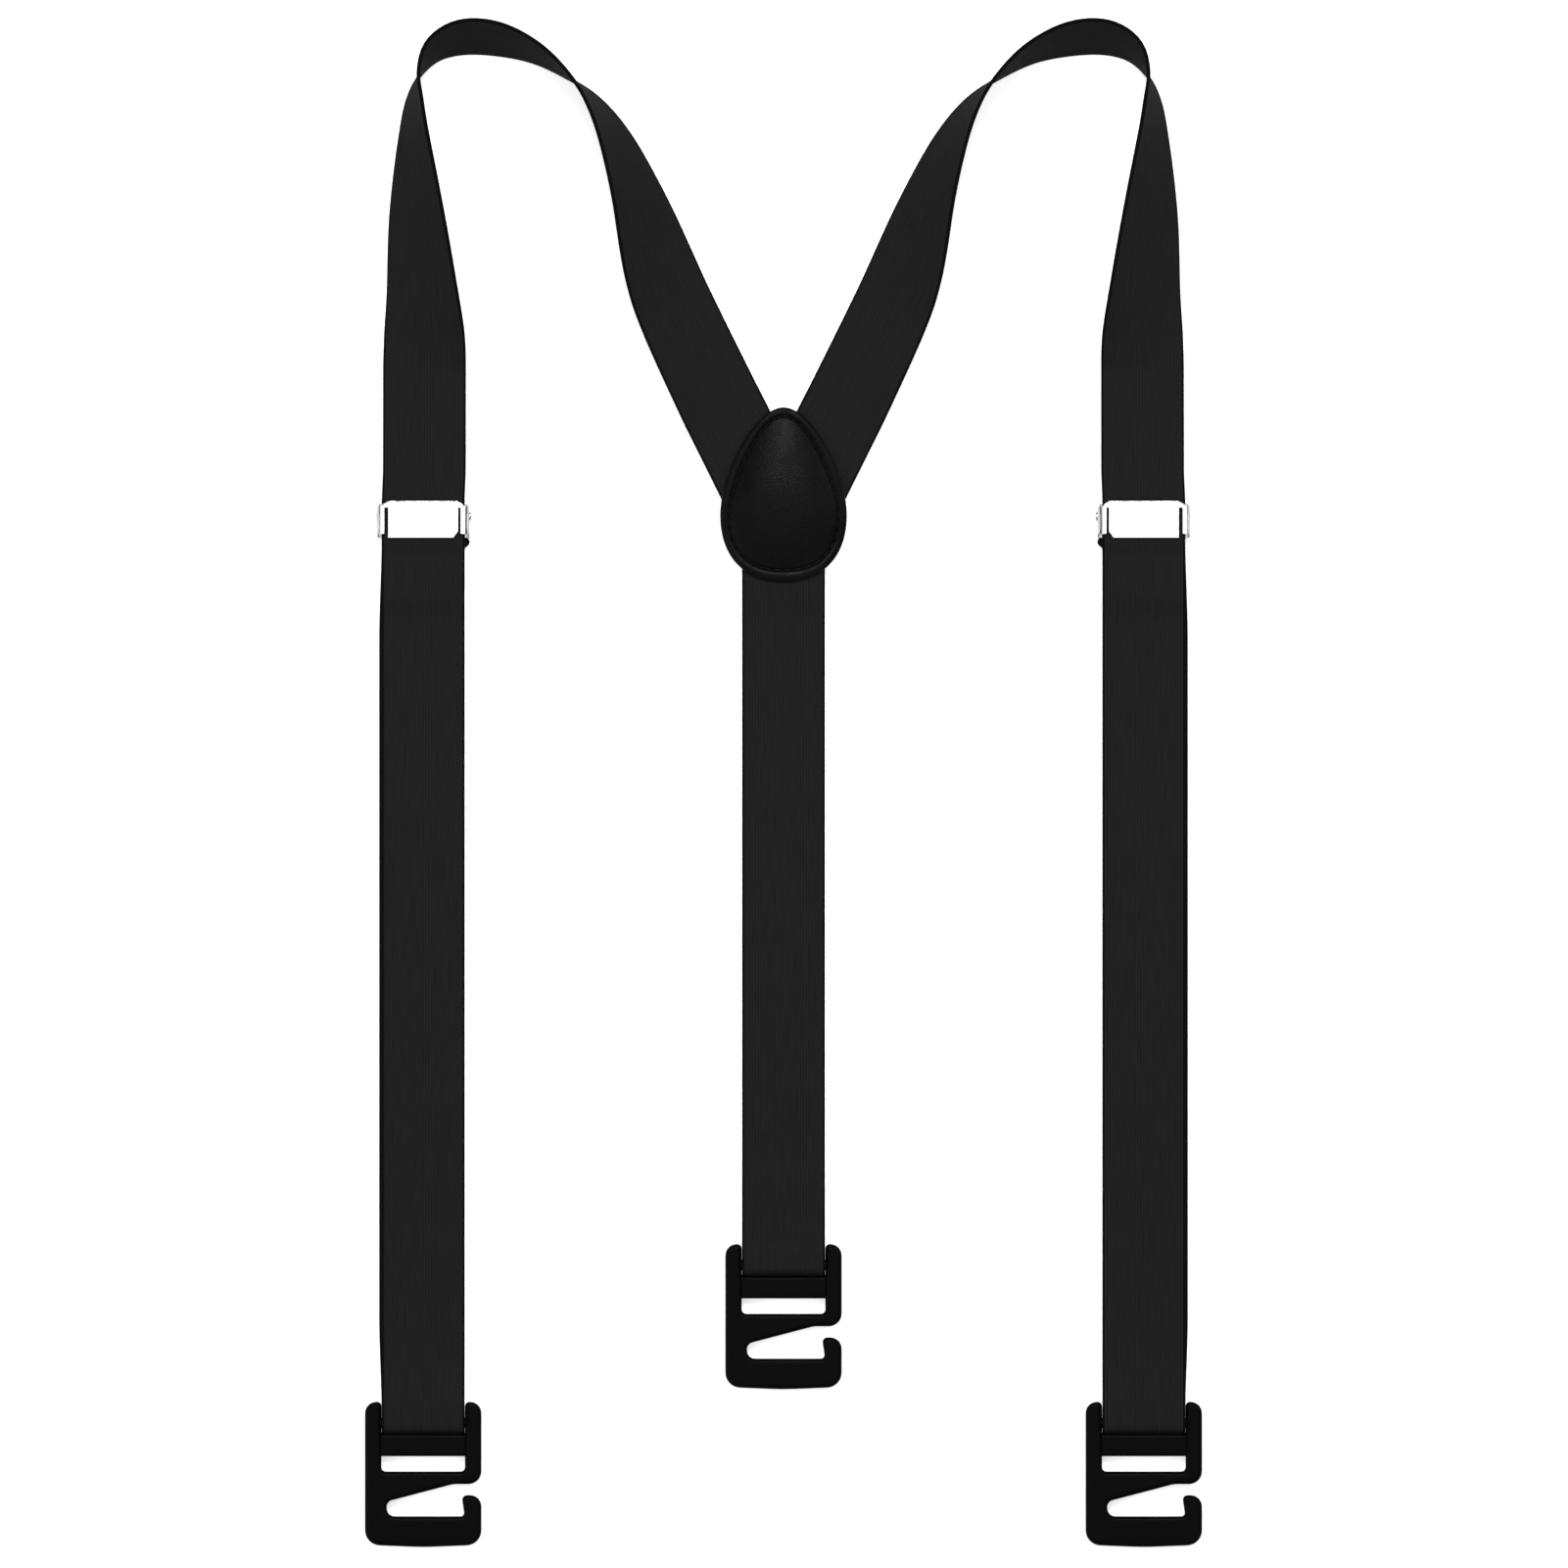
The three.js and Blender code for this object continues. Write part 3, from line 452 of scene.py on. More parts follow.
def sweepWeb(name, centres, across, startLength=0.0, mirror=False, cuts=(), flare=None):
    centres, across = np.array(centres), np.array(across)
    along = unitRows(np.gradient(centres, axis=0))
    normal = unitRows(np.cross(across, along))
    section = np.array(webSection())
    sideways = np.repeat(section[None, :, :1], len(centres), axis=0)
    if flare is not None:  # one edge pulled out past the rest
        share = section[None, :, :1] / webbing["width"] * 2
        sideways += np.array(flare)[:, None, None] * np.minimum(share, 0) ** 3
    points = centres[:, None] + sideways * across[:, None] + section[None, :, 1:] * normal[:, None]
    length = startLength + runAlong(centres)
    mesh = webMesh(name, points, section, length)
    for origin, away in cuts:
        cutOff(mesh, origin, away)
    return finishMesh(name, mesh, "webbing", mirror, 50), length[-1]


def spacedOut(points, step):
    # the same line with its points about one step apart
    points = np.array(points, float)
    run = runAlong(points[:, :3])
    keep = np.concatenate([[True], np.diff(run) > 1e-6])
    marks = np.linspace(0, run[-1], max(2, round(run[-1] / step)))
    return np.column_stack([np.interp(marks, run[keep], points[keep, c]) for c in range(points.shape[1])])


def levelRun(levels, step=0.8):
    # y and z along a straight stretch, with a smooth slope from each level to the next
    made = []
    for (y0, z0), (y1, z1) in zip(levels, levels[1:]):
        steps = max(2, int(abs(y1 - y0) / step))
        for t in np.arange(steps) / steps:
            made.append((y0 + (y1 - y0) * t, z0 + (z1 - z0) * float(smoothstep(t))))
    return made + [levels[-1]]


def halfTurn(y, z, radius, towards, slack=0.0):
    # from the top of a bar to its underside, round the side that faces towards
    reach = (radius + slack) * towards
    return [(y + reach * math.sin(a), z + radius * math.cos(a)) for a in np.linspace(0, math.pi, 19)]


layer = {
    "table": webbing["thick"] / 2,
    "ply": webbing["thick"] + webbing["gap"],
    "barRadius": 2.5,  # to the middle of the webbing round a hook's bar
    "barSlack": 0.2,
    "barZ": 3.1,
    "inAdjuster": 4.7,
    "overRearBar": 3.2,
    "onPatch": 2.1,
}

drawnRow = 79.5  # the height of the adjusters that the routes here are drawn for
rowShift = adjusterY - drawnRow
shoulder = {
    "start": 125.0 + rowShift,
    "split": 150.0,  # below this the strap gives way to the adjuster's travel
    "meetY": 84.5,  # under the patch, where the back strap begins
    "apart": 0.15,  # each band stops this far from the middle
    # share of the way out to the front strap, y, roll in degrees, lift
    "route": [
        (0.9965, 125, 0, 0),
        (0.9965, 134, 11, 0),
        (1.002, 147.5, 30, 0),
        (1.017, 171, 48.5, 0),
        (1.025, 194.7, 69, 0),
        (1.022, 206.5, 80, 0),
        (1.006, 214.5, 93, 0),
        (0.963, 221.2, 106, 0),
        (0.889, 224.6, 113, 0),
        (0.793, 224, 112, 0),
        (0.687, 219.8, 103, 0),
        (0.594, 212.6, 92, 0),
        (0.525, 204.8, 80, 0),
        (0.465, 193.5, 67.5, 0),
        (0.404, 176.5, 52, 0),
        (0.339, 154, 27.5, 0),
        (0.29, 140.5, 17, 0),
        (0.192, 118, 7, 0.6),
        (0.138, 106.2, 0, 1.5),
        (0.018, 80, 0, 1.5),
    ],
}


def shoulderStations():
    rows = curveThrough(shoulder["route"])
    x, y = -rows[:, 0] * strapX, rows[:, 1] + rowShift
    flat = spacedOut(np.column_stack([x, y, 0 * x, rows[:, 2:]]), 1.6)
    along = unitRows(np.gradient(flat[:, :2], axis=0))
    roll = np.radians(flat[:, 3])
    inward = np.column_stack([along[:, 1], -along[:, 0], 0 * roll])
    across = inward * np.cos(roll)[:, None]
    across[:, 2] += np.sin(roll)
    rise = webbing["width"] / 2 * np.sin(roll) + layer["table"] * np.abs(np.cos(roll))
    flat[:, 2] = np.maximum(rise + 0.04, layer["table"]) + flat[:, 4]
    return flat[:, :3], across


def makeShoulder(side, mirror):
    centres, across = shoulderStations()
    first = int(np.argmax(centres[:, 1] > shoulder["split"])) + 1
    # from the adjuster up to the split the band is a piece of its own
    top = adjusterY + 8.6
    rise = levelRun([
        (adjusterY - 0.3, layer["inAdjuster"]),
        (top, layer["inAdjuster"]),
        (shoulder["start"] - 0.3, layer["table"]),
    ])[:-1]
    lean = 0.0035 * strapX
    low = np.array([
        (lean * float(smoothstep((y - adjusterY - 4) / 12)) - strapX, y, z)
        for y, z in rise
    ])
    lowAcross = np.tile([1.0, 0, 0], (len(low), 1))
    upper, length = sweepWeb(
        f"{side}UpperWebbing", np.vstack([low, centres[:first]]), np.vstack([lowAcross, across[:first]]),
        0.0, mirror,
    )
    cuts = [
        ((-shoulder["apart"], 0, 0), (1, 0, 0)),
        ((0, shoulder["meetY"] + rowShift, 0), (0, -1, 0)),
    ]
    over, total = sweepWeb(
        f"{side}ShoulderWebbing", centres[first - 1 :], across[first - 1 :], length, mirror, cuts
    )
    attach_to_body(over, "yoke")
    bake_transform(upper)
    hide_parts(f"{side}_shoulder_strap")
    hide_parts(f"{side}_upper_strap")


hookTopOverBar = 5.9
frontBarY, backBarY = (boxOf(node)[1].y - hookTopOverBar for node in ("left_hook", "back_hook"))
overBar = layer["barZ"] + layer["barRadius"]
sewn = {
    "foldY": adjusterY - 3.2,  # over the adjuster's rear bar
    "tail": 18.0,
    "bow": 0.8,  # how far the layer behind strays to the outside
    "corner": 1.8,  # how far the tail's caught corner pokes out
    "cornerY": adjusterY - 7.4,
}
tailEndY = sewn["foldY"] - sewn["tail"]


def lowerRuns():
    # y and z down the front, round the hook's bar, up behind, over the rear bar and under as the tail
    table, ply, fold = layer["table"], layer["ply"], sewn["foldY"]
    rampTop, rampFoot = fold - 3.1, fold - 8.1
    down = levelRun([
        (adjusterY - 0.1, layer["inAdjuster"]), (rampTop, layer["inAdjuster"]),
        (rampFoot, table + 2 * ply), (tailEndY - 1, table + 2 * ply), (tailEndY - 9, table + ply),
        (frontBarY + 20, table + ply), (frontBarY + 4, overBar), (frontBarY + 0.2, overBar),
    ])
    loop = halfTurn(frontBarY, layer["barZ"], layer["barRadius"], -1, layer["barSlack"])
    back = levelRun([
        (frontBarY + 0.2, table), (tailEndY - 9, table), (tailEndY - 1, table + ply),
        (rampFoot, table + ply), (rampTop, layer["overRearBar"]), (fold - 0.1, layer["overRearBar"]),
    ])
    rearLoop = halfTurn(fold, (layer["overRearBar"] + table) / 2, (layer["overRearBar"] - table) / 2, 1)
    tail = levelRun([(fold - 0.1, table), (tailEndY, table)])
    return down + loop, back, rearLoop, tail


def makeLowerWebbing(side, mirror):
    front, back, rearLoop, tail = lowerRuns()
    path = np.array(front + back + rearLoop + tail)
    behind = np.zeros(len(path))
    run = np.linspace(0, 1, len(back))
    bowed = slice(len(front), len(front) + len(back))
    behind[bowed] = -sewn["bow"] * smoothstep(run / 0.12) * smoothstep((1 - run) / 0.12)
    # where the tail is turned under, its inner corner is caught and pokes out below the adjuster
    corner = np.zeros(len(path))
    tailY = np.array([y for y, z in tail])
    fold, cornerY = sewn["foldY"], sewn["cornerY"]
    corner[-len(tail) :] = sewn["corner"] * np.clip((fold - tailY) / (fold - cornerY), 0, 1)
    corner[-len(tail) :] *= np.clip(1 - (cornerY - tailY) / 0.9, 0, 1)
    stations = spacedOut(np.column_stack([-strapX + behind, path, corner]), 0.9)
    across = np.tile([-1.0, 0, 0], (len(stations), 1))
    piece, length = sweepWeb(
        f"{side}LowerWebbing", stations[:, :3], across, 0.0, mirror, (), stations[:, 3]
    )
    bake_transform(piece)
    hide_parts(f"{side}_front_run", f"{side}_return_run", f"{side}_hook_loop", f"{side}_sewn_end")
    print(side, "lower webbing", round(length), "mm long")


def makeBackWebbing():
    table, ply = layer["table"], layer["ply"]
    tailEnd = backBarY + 23
    down = levelRun([
        (shoulder["meetY"] + rowShift - 0.3, layer["onPatch"]), (patchLow - 0.1, layer["onPatch"]),
        (patchLow - 13.6, table), (tailEnd + 9, table), (tailEnd + 1, table + ply),
        (backBarY + 12, table + ply), (backBarY + 4, overBar), (backBarY + 0.2, overBar),
    ])
    loop = halfTurn(backBarY, layer["barZ"], layer["barRadius"], -1, layer["barSlack"])
    tail = levelRun([(backBarY + 0.2, table), (tailEnd, table)])
    path = np.array(down + loop + tail)
    centres = spacedOut(np.column_stack([0 * path[:, 0], path]), 1.1)
    across = np.tile([-1.0, 0, 0], (len(centres), 1))
    piece, length = sweepWeb("backWebbing", centres, across)
    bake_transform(piece)
    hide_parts("back_strap", "back_hook_loop")
    print("back webbing", round(length), "mm long")


# ---- thread: every stitch is its own short length that dips in at both ends ----
def stitchTube(line, run, marks, stitch):
    # the points of one stitch, ring after ring of them
    steps = len(marks)
    middle = np.column_stack([np.interp(marks, run, line[:, c]) for c in range(3)])
    arch = np.sin(np.linspace(0, math.pi, steps))
    middle[:, 2] += stitch["rise"] * (np.sqrt(arch) - 1) * stitch["face"]
    along = unitRows(np.gradient(middle, axis=0))
    sideways = unitRows(np.cross(along, [0, 0, 1.0]))
    upward = np.cross(sideways, along)
    points = []
    for i in range(steps):
        radius = stitch["radius"] * (0.55 + 0.45 * math.sqrt(arch[i]))
        for a in np.arange(stitchSides) * 2 * math.pi / stitchSides:
            points.append(middle[i] + radius * (math.cos(a) * sideways[i] + math.sin(a) * upward[i]))
    return points


def tubeFaces(first, steps, around):
    faces = []
    for i in range(steps - 1):
        for j in range(around):
            k = (j + 1) % around
            a, b = first + i * around, first + (i + 1) * around
            faces.append((a + j, a + k, b + k, b + j))
    faces.append(tuple(first + j for j in range(around)))
    faces.append(tuple(first + (steps - 1) * around + j for j in range(around - 1, -1, -1)))
    return faces


stitchSides, stitchSteps = 8, 7


def stitchRow(name, line, stitch, body, node=None):
    # stitches all the way round a closed line
    line = np.array(line, float)
    line = np.vstack([line, line[:1]])
    run = runAlong(line)
    each = stitch["length"] + stitch["space"]
    pitch = run[-1] / round(run[-1] / each)
    points, faces = [], []
    for start in np.arange(0, run[-1] - pitch * 0.5, pitch):
        marks = start + pitch * stitch["length"] / each * np.linspace(0, 1, stitchSteps)
        faces += tubeFaces(len(points), stitchSteps, stitchSides)
        points += stitchTube(line, run, marks, stitch)
    piece = finishMesh(name, meshFrom(name, points, faces), "thread", False, 60)
    attach(piece, body, node)


sewing = {"length": 2.1, "space": 0.55, "radius": 0.2, "rise": 0.22}


def boxStitch(name, x, y0, y1, z, body, face, node=None):
    # a rectangle of stitches on one face of the webbing
    half = webbing["width"] / 2 - 3.2
    corners = [(x - half, y0), (x + half, y0), (x + half, y1), (x - half, y1), (x - half, y0)]
    line = []
    for (x0, ya), (x1, yb) in zip(corners, corners[1:]):
        line += [(x0 + (x1 - x0) * t, ya + (yb - ya) * t, z) for t in np.linspace(0, 1, 9)[:-1]]
    stitchRow(name, line, {**sewing, "face": face}, body, node)


def makeStitching():
    topFace, below = layer["table"] * 2 + layer["ply"], 0.25
    y0, y1 = tailEndY + 2, sewn["foldY"] - 9
    for side, sign in (("left", -1), ("right", 1)):
        x, body = sign * (strapX - 0.4), f"{side}_adjuster"
        boxStitch(
            f"{side}TailStitches", x, y0, y1, topFace - 0.02, body, 1, f"{side}_sewn_end_stitching"
        )
        boxStitch(f"{side}TailStitchesBelow", x, y0, y1, below, body, -1)
    y0, y1 = backBarY + 13.5, backBarY + 20.5
    boxStitch("backLoopStitches", 0, y0, y1, topFace - 0.1, "back_loop", 1, "back_loop_stitching")
    boxStitch("backLoopStitchesBelow", 0, y0, y1, below, "back_loop", -1)


# ---- the teardrop patch: front leather over a pad, back leather, and a sewn groove ----
patch = {
    "leather": 1.2,
    "coverZ": 3.0,  # underside of the front leather where it lies over the webbing
    "flange": 3.4,  # from the edge to the sewn groove
    "groove": 0.9,
    "grooveDepth": 0.75,
    "dome": 2.5,
    "edge": 0.4,
    "sag": 1.55,  # how far the rim drops between the straps, on to the back leather
    "sagReach": 6.5,
    "bridge": 4.8,  # width that the stiff leather bridges
    "widestShare": 0.381,  # height of the widest level, as a share of the patch's length
    "ovalShare": 0.8,  # height of the dome's oval, as a share of its reach to the tip
    "ovalFrom": 0.6,
    # the rolled rim and the groove from the edge inwards: inset, height over the flat leather
    "roll": [(0.7, 0.1), (1.1, 0.19), (1.6, 0.24), (2.1, 0.21), (2.5, 0.13), (2.8, 0.02), (3.06, -0.13)],
    "stitch": {"length": 2.5, "space": 0.75},
}


def bezier(a, b, c, d, steps):
    t = (np.arange(steps) / steps)[:, None]
    a, b, c, d = (np.array(p, float) for p in (a, b, c, d))
    return (1 - t) ** 3 * a + 3 * t * (1 - t) ** 2 * b + 3 * t**2 * (1 - t) * c + t**3 * d


def teardrop(half, low, widest, high, tip, sideShare, steps=36):
    lower, side = widest - 0.55 * (widest - low), widest + sideShare * (high - widest)
    right = np.vstack([
        bezier((0, low), (0.7 * half, low), (half, lower), (half, widest), steps),
        bezier((half, widest), (half, side), (tip, high), (0, high), steps),
    ])
    left = right[1:][::-1] * (-1, 1)
    return np.vstack([right, [[0, high]], left])


patchHalf = boxOf("back_patch")[1].x
patchWidest = patchLow + patch["widestShare"] * (patchHigh - patchLow)
outline = teardrop(patchHalf, patchLow, patchWidest, patchHigh, 0.45 * patchHalf, 0.38)
# the sewn groove is a teardrop of its own, with straighter sides than the rim
grooveLine = teardrop(
    patchHalf - 2.6, patchLow + patch["flange"], patchWidest - 1.2, patchHigh - 2.6, 7.2, 0.33
)
patchMiddle = np.array([0, patchLow + 0.44 * (patchHigh - patchLow)])


def patchRing(inset, share=1.0):
    off = outline + (grooveLine - outline) * inset / patch["flange"] - patchMiddle
    # towards the middle the teardrop turns into an oval, so the dome has no ridge below its tip
    reach = np.abs(off).max(axis=0) * (1, patch["ovalShare"])
    oval = off / np.linalg.norm(off / reach, axis=1)[:, None]
    off = off + (oval - off) * smoothstep((1 - share) / patch["ovalFrom"])
    return off * share + patchMiddle


def strapUnder(points):
    # 1 where webbing lies under the rim, falling to 0 beside it
    half, farOff = webbing["width"] / 2, 50.0
    away = np.abs(points[:, 0]) - half + farOff * (points[:, 1] > shoulder["meetY"] + 6)
    (outShare, outY), (inShare, inY) = (row[:2] for row in shoulder["route"][-3::2])
    for sign in (-1, 1):
        start = np.array([sign * inShare * strapX, inY + rowShift])
        towards = np.array([sign * outShare * strapX, outY + rowShift]) - start
        towards /= np.linalg.norm(towards)
        off = points - start
        across = np.abs(off[:, 0] * towards[1] - off[:, 1] * towards[0]) - half
        away = np.minimum(away, across + farOff * ((off @ towards) < -4))
    return 1 - smoothstep(away / patch["sagReach"])


def ringsMesh(name, rings):
    count = len(rings[0])
    points = [p for ring in rings for p in ring]
    faces = []
    for r in range(len(rings) - 1):
        for i in range(count):
            j = (i + 1) % count
            faces.append((r * count + i, r * count + j, (r + 1) * count + j, (r + 1) * count + i))
    for ring, order in ((0, -1), (len(rings) - 1, 1)):
        centre = len(points)
        points.append(np.mean(rings[ring], axis=0))
        for i in range(count):
            a, b = ring * count + i, ring * count + (i + 1) % count
            faces.append((centre, a, b) if order > 0 else (centre, b, a))
    return meshFrom(name, points, faces)


def rimDrop(points):
    # averaged over a short width, because stiff leather bridges a narrow gap
    shifts = patch["bridge"] * np.array([-0.5, -1 / 6, 1 / 6, 0.5])
    near = sum(strapUnder(points + (shift, 0)) for shift in shifts) / len(shifts)
    return patch["sag"] * (1 - near)


def dome(share):
    return patch["dome"] * (1 - share**2.2)


def paddedDome(share):
    # the hollow under the dome, which starts a little inside the groove
    return dome(min(1, share / 0.9))


def levelRing(inset, z, share=1.0):
    flat = patchRing(inset, share)
    return np.column_stack([flat, np.full(len(flat), z)])


def saggingRing(inset, z, share=1.0, sagShare=1.0):
    ring = levelRing(inset, z, share)
    ring[:, 2] -= rimDrop(ring[:, :2]) * sagShare
    return ring


panel = patch["flange"] + patch["groove"] / 2
underZ, topZ = patch["coverZ"], patch["coverZ"] + patch["leather"]


def coverRings():
    shares = [0.985, 0.95, 0.9, 0.83, 0.74, 0.63, 0.5, 0.36, 0.22, 0.1]
    hollow = [s for s in reversed(shares) if s < 0.9]
    rings = [saggingRing(panel, underZ + max(0.0, paddedDome(s)), s, s**4) for s in hollow]
    rings.append(saggingRing(panel, underZ, 0.92, 0.85))
    edge = patch["edge"]
    for a in np.radians([-90, -50, -15, 20, 55, 90]):
        level = underZ + edge if a < 0 else topZ - edge
        rings.append(saggingRing(edge * (1 - math.cos(a)), level + edge * math.sin(a)))
    flange, deep = patch["flange"], patch["grooveDepth"]
    grooved = [(-0.25, -0.45), (-0.2, -deep), (0.2, -deep), (0.25, -0.45), (0.32, -0.1)]
    for inset, lift in patch["roll"] + [(flange + beside, lift) for beside, lift in grooved]:
        rings.append(saggingRing(inset, topZ + lift))
    rings.append(saggingRing(panel + 0.05, topZ + 0.05))
    return rings + [saggingRing(panel, topZ + 0.05 + dome(s), s, s**4) for s in shares]


def backingRings():
    edge, top = patch["edge"], patch["leather"]
    rings = [levelRing(2, 0.0, s) for s in (0.2, 0.6, 0.97)]
    for a in np.radians([-90, -45, 0, 45, 90]):
        level = edge if a < 0 else top - edge
        rings.append(levelRing(edge * (1 - math.cos(a)), level + edge * math.sin(a)))
    return rings + [levelRing(2, top, s) for s in (0.97, 0.6, 0.2)]


def padRings():
    rings = [levelRing(panel, underZ + 0.02, s) for s in (0.15, 0.5, 0.8)]
    for s in (0.82, 0.8, 0.72, 0.6, 0.45, 0.3, 0.12):
        rings.append(levelRing(panel, underZ + max(0.35, paddedDome(s) - 0.35), s))
    return rings


def makePatch():
    for name, rings, material, node, slot in (
        ("patchCover", coverRings(), "leather", "front_patch", "leather"),
        ("patchBacking", backingRings(), "backing", "back_patch", "leather"),
        ("patchPad", padRings(), "felt", "patch_pad", "felt"),
    ):
        piece = finishMesh(name, ringsMesh(name, rings), material, False, 70)
        attach(piece, "yoke", node)
    groove = saggingRing(patch["flange"], topZ - patch["grooveDepth"] + 0.12)
    above = {**patch["stitch"], "radius": 0.21, "rise": 0.25, "face": 1}
    stitchRow("patchStitches", groove, above, "yoke", "patch_stitching")
    below = {**patch["stitch"], "radius": 0.22, "rise": 0.2, "face": -1}
    stitchRow("patchStitchesBelow", levelRing(patch["flange"], 0.26), below, "yoke")


# ---- flat stamped and moulded shapes: an outline with rounded corners, thickened and edge-rounded ----
def roundedPath(corners, arcSteps=7):
    made = []
    count = len(corners)
    for i, (x, y, radius) in enumerate(corners):
        here = Vector((x, y))
        before = (Vector(corners[i - 1][:2]) - here).normalized()
        after = (Vector(corners[(i + 1) % count][:2]) - here).normalized()
        angle = before.angle(after)
        if radius <= 0 or angle > math.pi - 1e-4:
            made.append((x, y))
            continue
        reach = radius / math.tan(angle / 2)
        centre = here + (before + after).normalized() * (radius / math.sin(angle / 2))
        start, end = here + before * reach - centre, here + after * reach - centre
        turn = math.atan2(start.x * end.y - start.y * end.x, start.dot(end))
        for k in range(arcSteps + 1):
            spun = Matrix.Rotation(turn * k / arcSteps, 2) @ start
            made.append((centre.x + spun.x, centre.y + spun.y))
    return made


def boxPath(x0, x1, y0, y1, radius=0.0, arcSteps=7):
    return roundedPath([(x0, y0, radius), (x0, y1, radius), (x1, y1, radius), (x1, y0, radius)], arcSteps)


def mergeClose(work):
    bmesh.ops.remove_doubles(work, verts=work.verts, dist=1e-4)
    facesOutward(work)


def tidied(mesh):
    return editMesh(mesh, mergeClose)


def flipped(mesh):
    mesh.transform(Matrix.Diagonal((-1, 1, 1, 1)))
    return tidied(mesh)


def evaluatedMesh(holder):
    bpy.context.view_layer.update()
    graph = bpy.context.evaluated_depsgraph_get()
    return bpy.data.meshes.new_from_object(holder.evaluated_get(graph))


def plateMesh(paths, low, high, bevel, turn=None):
    # turn places the finished plate, whose outline lies in x and y
    curve = bpy.data.curves.new("plate", "CURVE")
    curve.dimensions, curve.fill_mode = "2D", "BOTH"
    curve.extrude, curve.bevel_depth = (high - low) / 2 - bevel, bevel
    curve.bevel_resolution, curve.offset = 3, -bevel
    for path in paths:
        spline = curve.splines.new("POLY")
        spline.points.add(len(path) - 1)
        for point, (x, y) in zip(spline.points, path):
            point.co = (x, y, 0, 1)
        spline.use_cyclic_u = True
    holder = addObject("plate", curve)
    mesh = evaluatedMesh(holder)
    bpy.data.objects.remove(holder)
    bpy.data.curves.remove(curve)
    mesh.transform(Matrix.Translation((0, 0, (low + high) / 2)))
    if turn is not None:
        mesh.transform(turn)
    return tidied(mesh)


def roundBar(radius, x0, x1, y, z, sides=24, crown=0.0):
    # a bar along x, with an optional rounded far end
    profile = [(x0, radius), (x1, radius)]
    if crown:
        profile += [(x1 + crown * math.sin(a), radius * math.cos(a)) for a in np.radians([25, 50, 72])]
    angles = np.arange(sides) * 2 * math.pi / sides
    points = [(x, y + r * math.cos(a), z + r * math.sin(a)) for x, r in profile for a in angles]
    mesh = bpy.data.meshes.new("bar")
    mesh.from_pydata(points, [], tubeFaces(0, len(profile), sides))
    return tidied(mesh)


def joined(meshes):
    # unites overlapping solids into one
    objects = [addObject("solid", mesh) for mesh in meshes]
    for other in objects[1:]:
        modifier = objects[0].modifiers.new("unite", "BOOLEAN")
        modifier.operation, modifier.solver, modifier.object = "UNION", "EXACT", other
    united = evaluatedMesh(objects[0])
    for holder in objects:
        bpy.data.objects.remove(holder)
    return united


def placed(mesh, x, y):
    mesh.transform(Matrix.Translation((x * mm, y * mm, 0)) @ Matrix.Scale(mm, 4))
    return mesh


# ---- G-hook, worked out round its bar ----
hook = {
    "half": 17.55,
    "notch": 12.57,
    "thick": 5.0,
    "edge": 1.3,
    "barRadius": 1.6,
    "sunk": 0.9,  # how far the bars run into the sides
    "top": 6.3,
    "bottom": -36.8,
    "bow": 0.7,
    "middleBar": (-3.42, -10.1),
    "middleThick": 3.0,
    "slot": (-10.1, -14.7),
    "arm": -18.5,
    "mouthFloor": -28.2,
    "mouthBlind": -10.8,
    "tipInner": 12.5,
    "tipTop": -21.8,
}


def hookMesh():
    half, notch, bottom = hook["half"], hook["notch"], hook["bottom"]
    corners = [
        (-notch, hook["top"], 1.4),
        (-half, hook["top"], 3.4),
        (-half, bottom, 4.6),
        (0, bottom - hook["bow"], 90),
        (half, bottom, 4.6),
        (half, hook["tipTop"], 3.4),
        (hook["tipInner"] - 1.0, hook["tipTop"], 1.4),
        (hook["tipInner"], hook["mouthFloor"], 1.1),
        (hook["mouthBlind"], hook["mouthFloor"], 2.4),
        (hook["mouthBlind"] - 0.3, hook["arm"] - 5.3, 2.1),
        (half - 8.4, hook["arm"], 7),
        (half, hook["arm"], 3.9),
        (half, hook["top"], 3.4),
        (notch, hook["top"], 1.4),
        (notch, hook["slot"][1], 1.35),
        (-notch, hook["slot"][1], 1.35),
    ]
    body = plateMesh([roundedPath(corners)], 0, hook["thick"], hook["edge"])
    top, low = hook["middleBar"]
    end = notch + hook["sunk"]
    rise = (hook["thick"] - hook["middleThick"]) / 2
    middle = plateMesh([boxPath(-end, end, top, low)], rise, rise + hook["middleThick"], 0.9)
    # a low ledge along the middle bar, tucked under the turn of the webbing; its dark plastic stands in the
    # gap there as painted shade
    gapShadowLedge = plateMesh([boxPath(-end, end, top + 0.55, low + 1)], 0.45, 1.25, 0.1)
    rod = roundBar(hook["barRadius"], -end, end, 0, layer["barZ"])
    return joined([body, middle, gapShadowLedge, rod])


def makeHooks():
    for name, x, y, body in (
        ("left", -strapX, frontBarY, "left_hook"),
        ("right", strapX, frontBarY, "right_hook"),
        ("back", 0, backBarY, "back_hook"),
    ):
        piece = finishMesh(f"{name}Hook", placed(hookMesh(), x, y), "plastic", False, 32, True)
        attach(piece, body, body)


# ---- adjuster, worked out round its own middle ----
adjuster = {
    "half": 5.6,
    "tabInner": 12.7,
    "tabOuter": 13.2,
    "earInner": 13.3,
    "earOuter": 13.8,
    "leverTop": 6.5,
    "lean": 0.16,
    "lever": 0.7,
    "bend": 1.2,
    "rearBar": 2.6,
    "topBar": 4.0,
    "sheet": 0.8,
    "rearZ": 1.5,
    "topBarZ": 3.8,
    "pivotY": 4.85,
    "pivotZ": 6.15,
    "strapTop": 5.3,
    "stud": 0.45,
    "studHead": 0.8,
    "bossY": 0.9,
    "bossZ": 3.8,
    "bossRadius": 1.5,
    "tabFoot": 4.1,
    "pressed": 0.17,
    "teeth": 11,
}
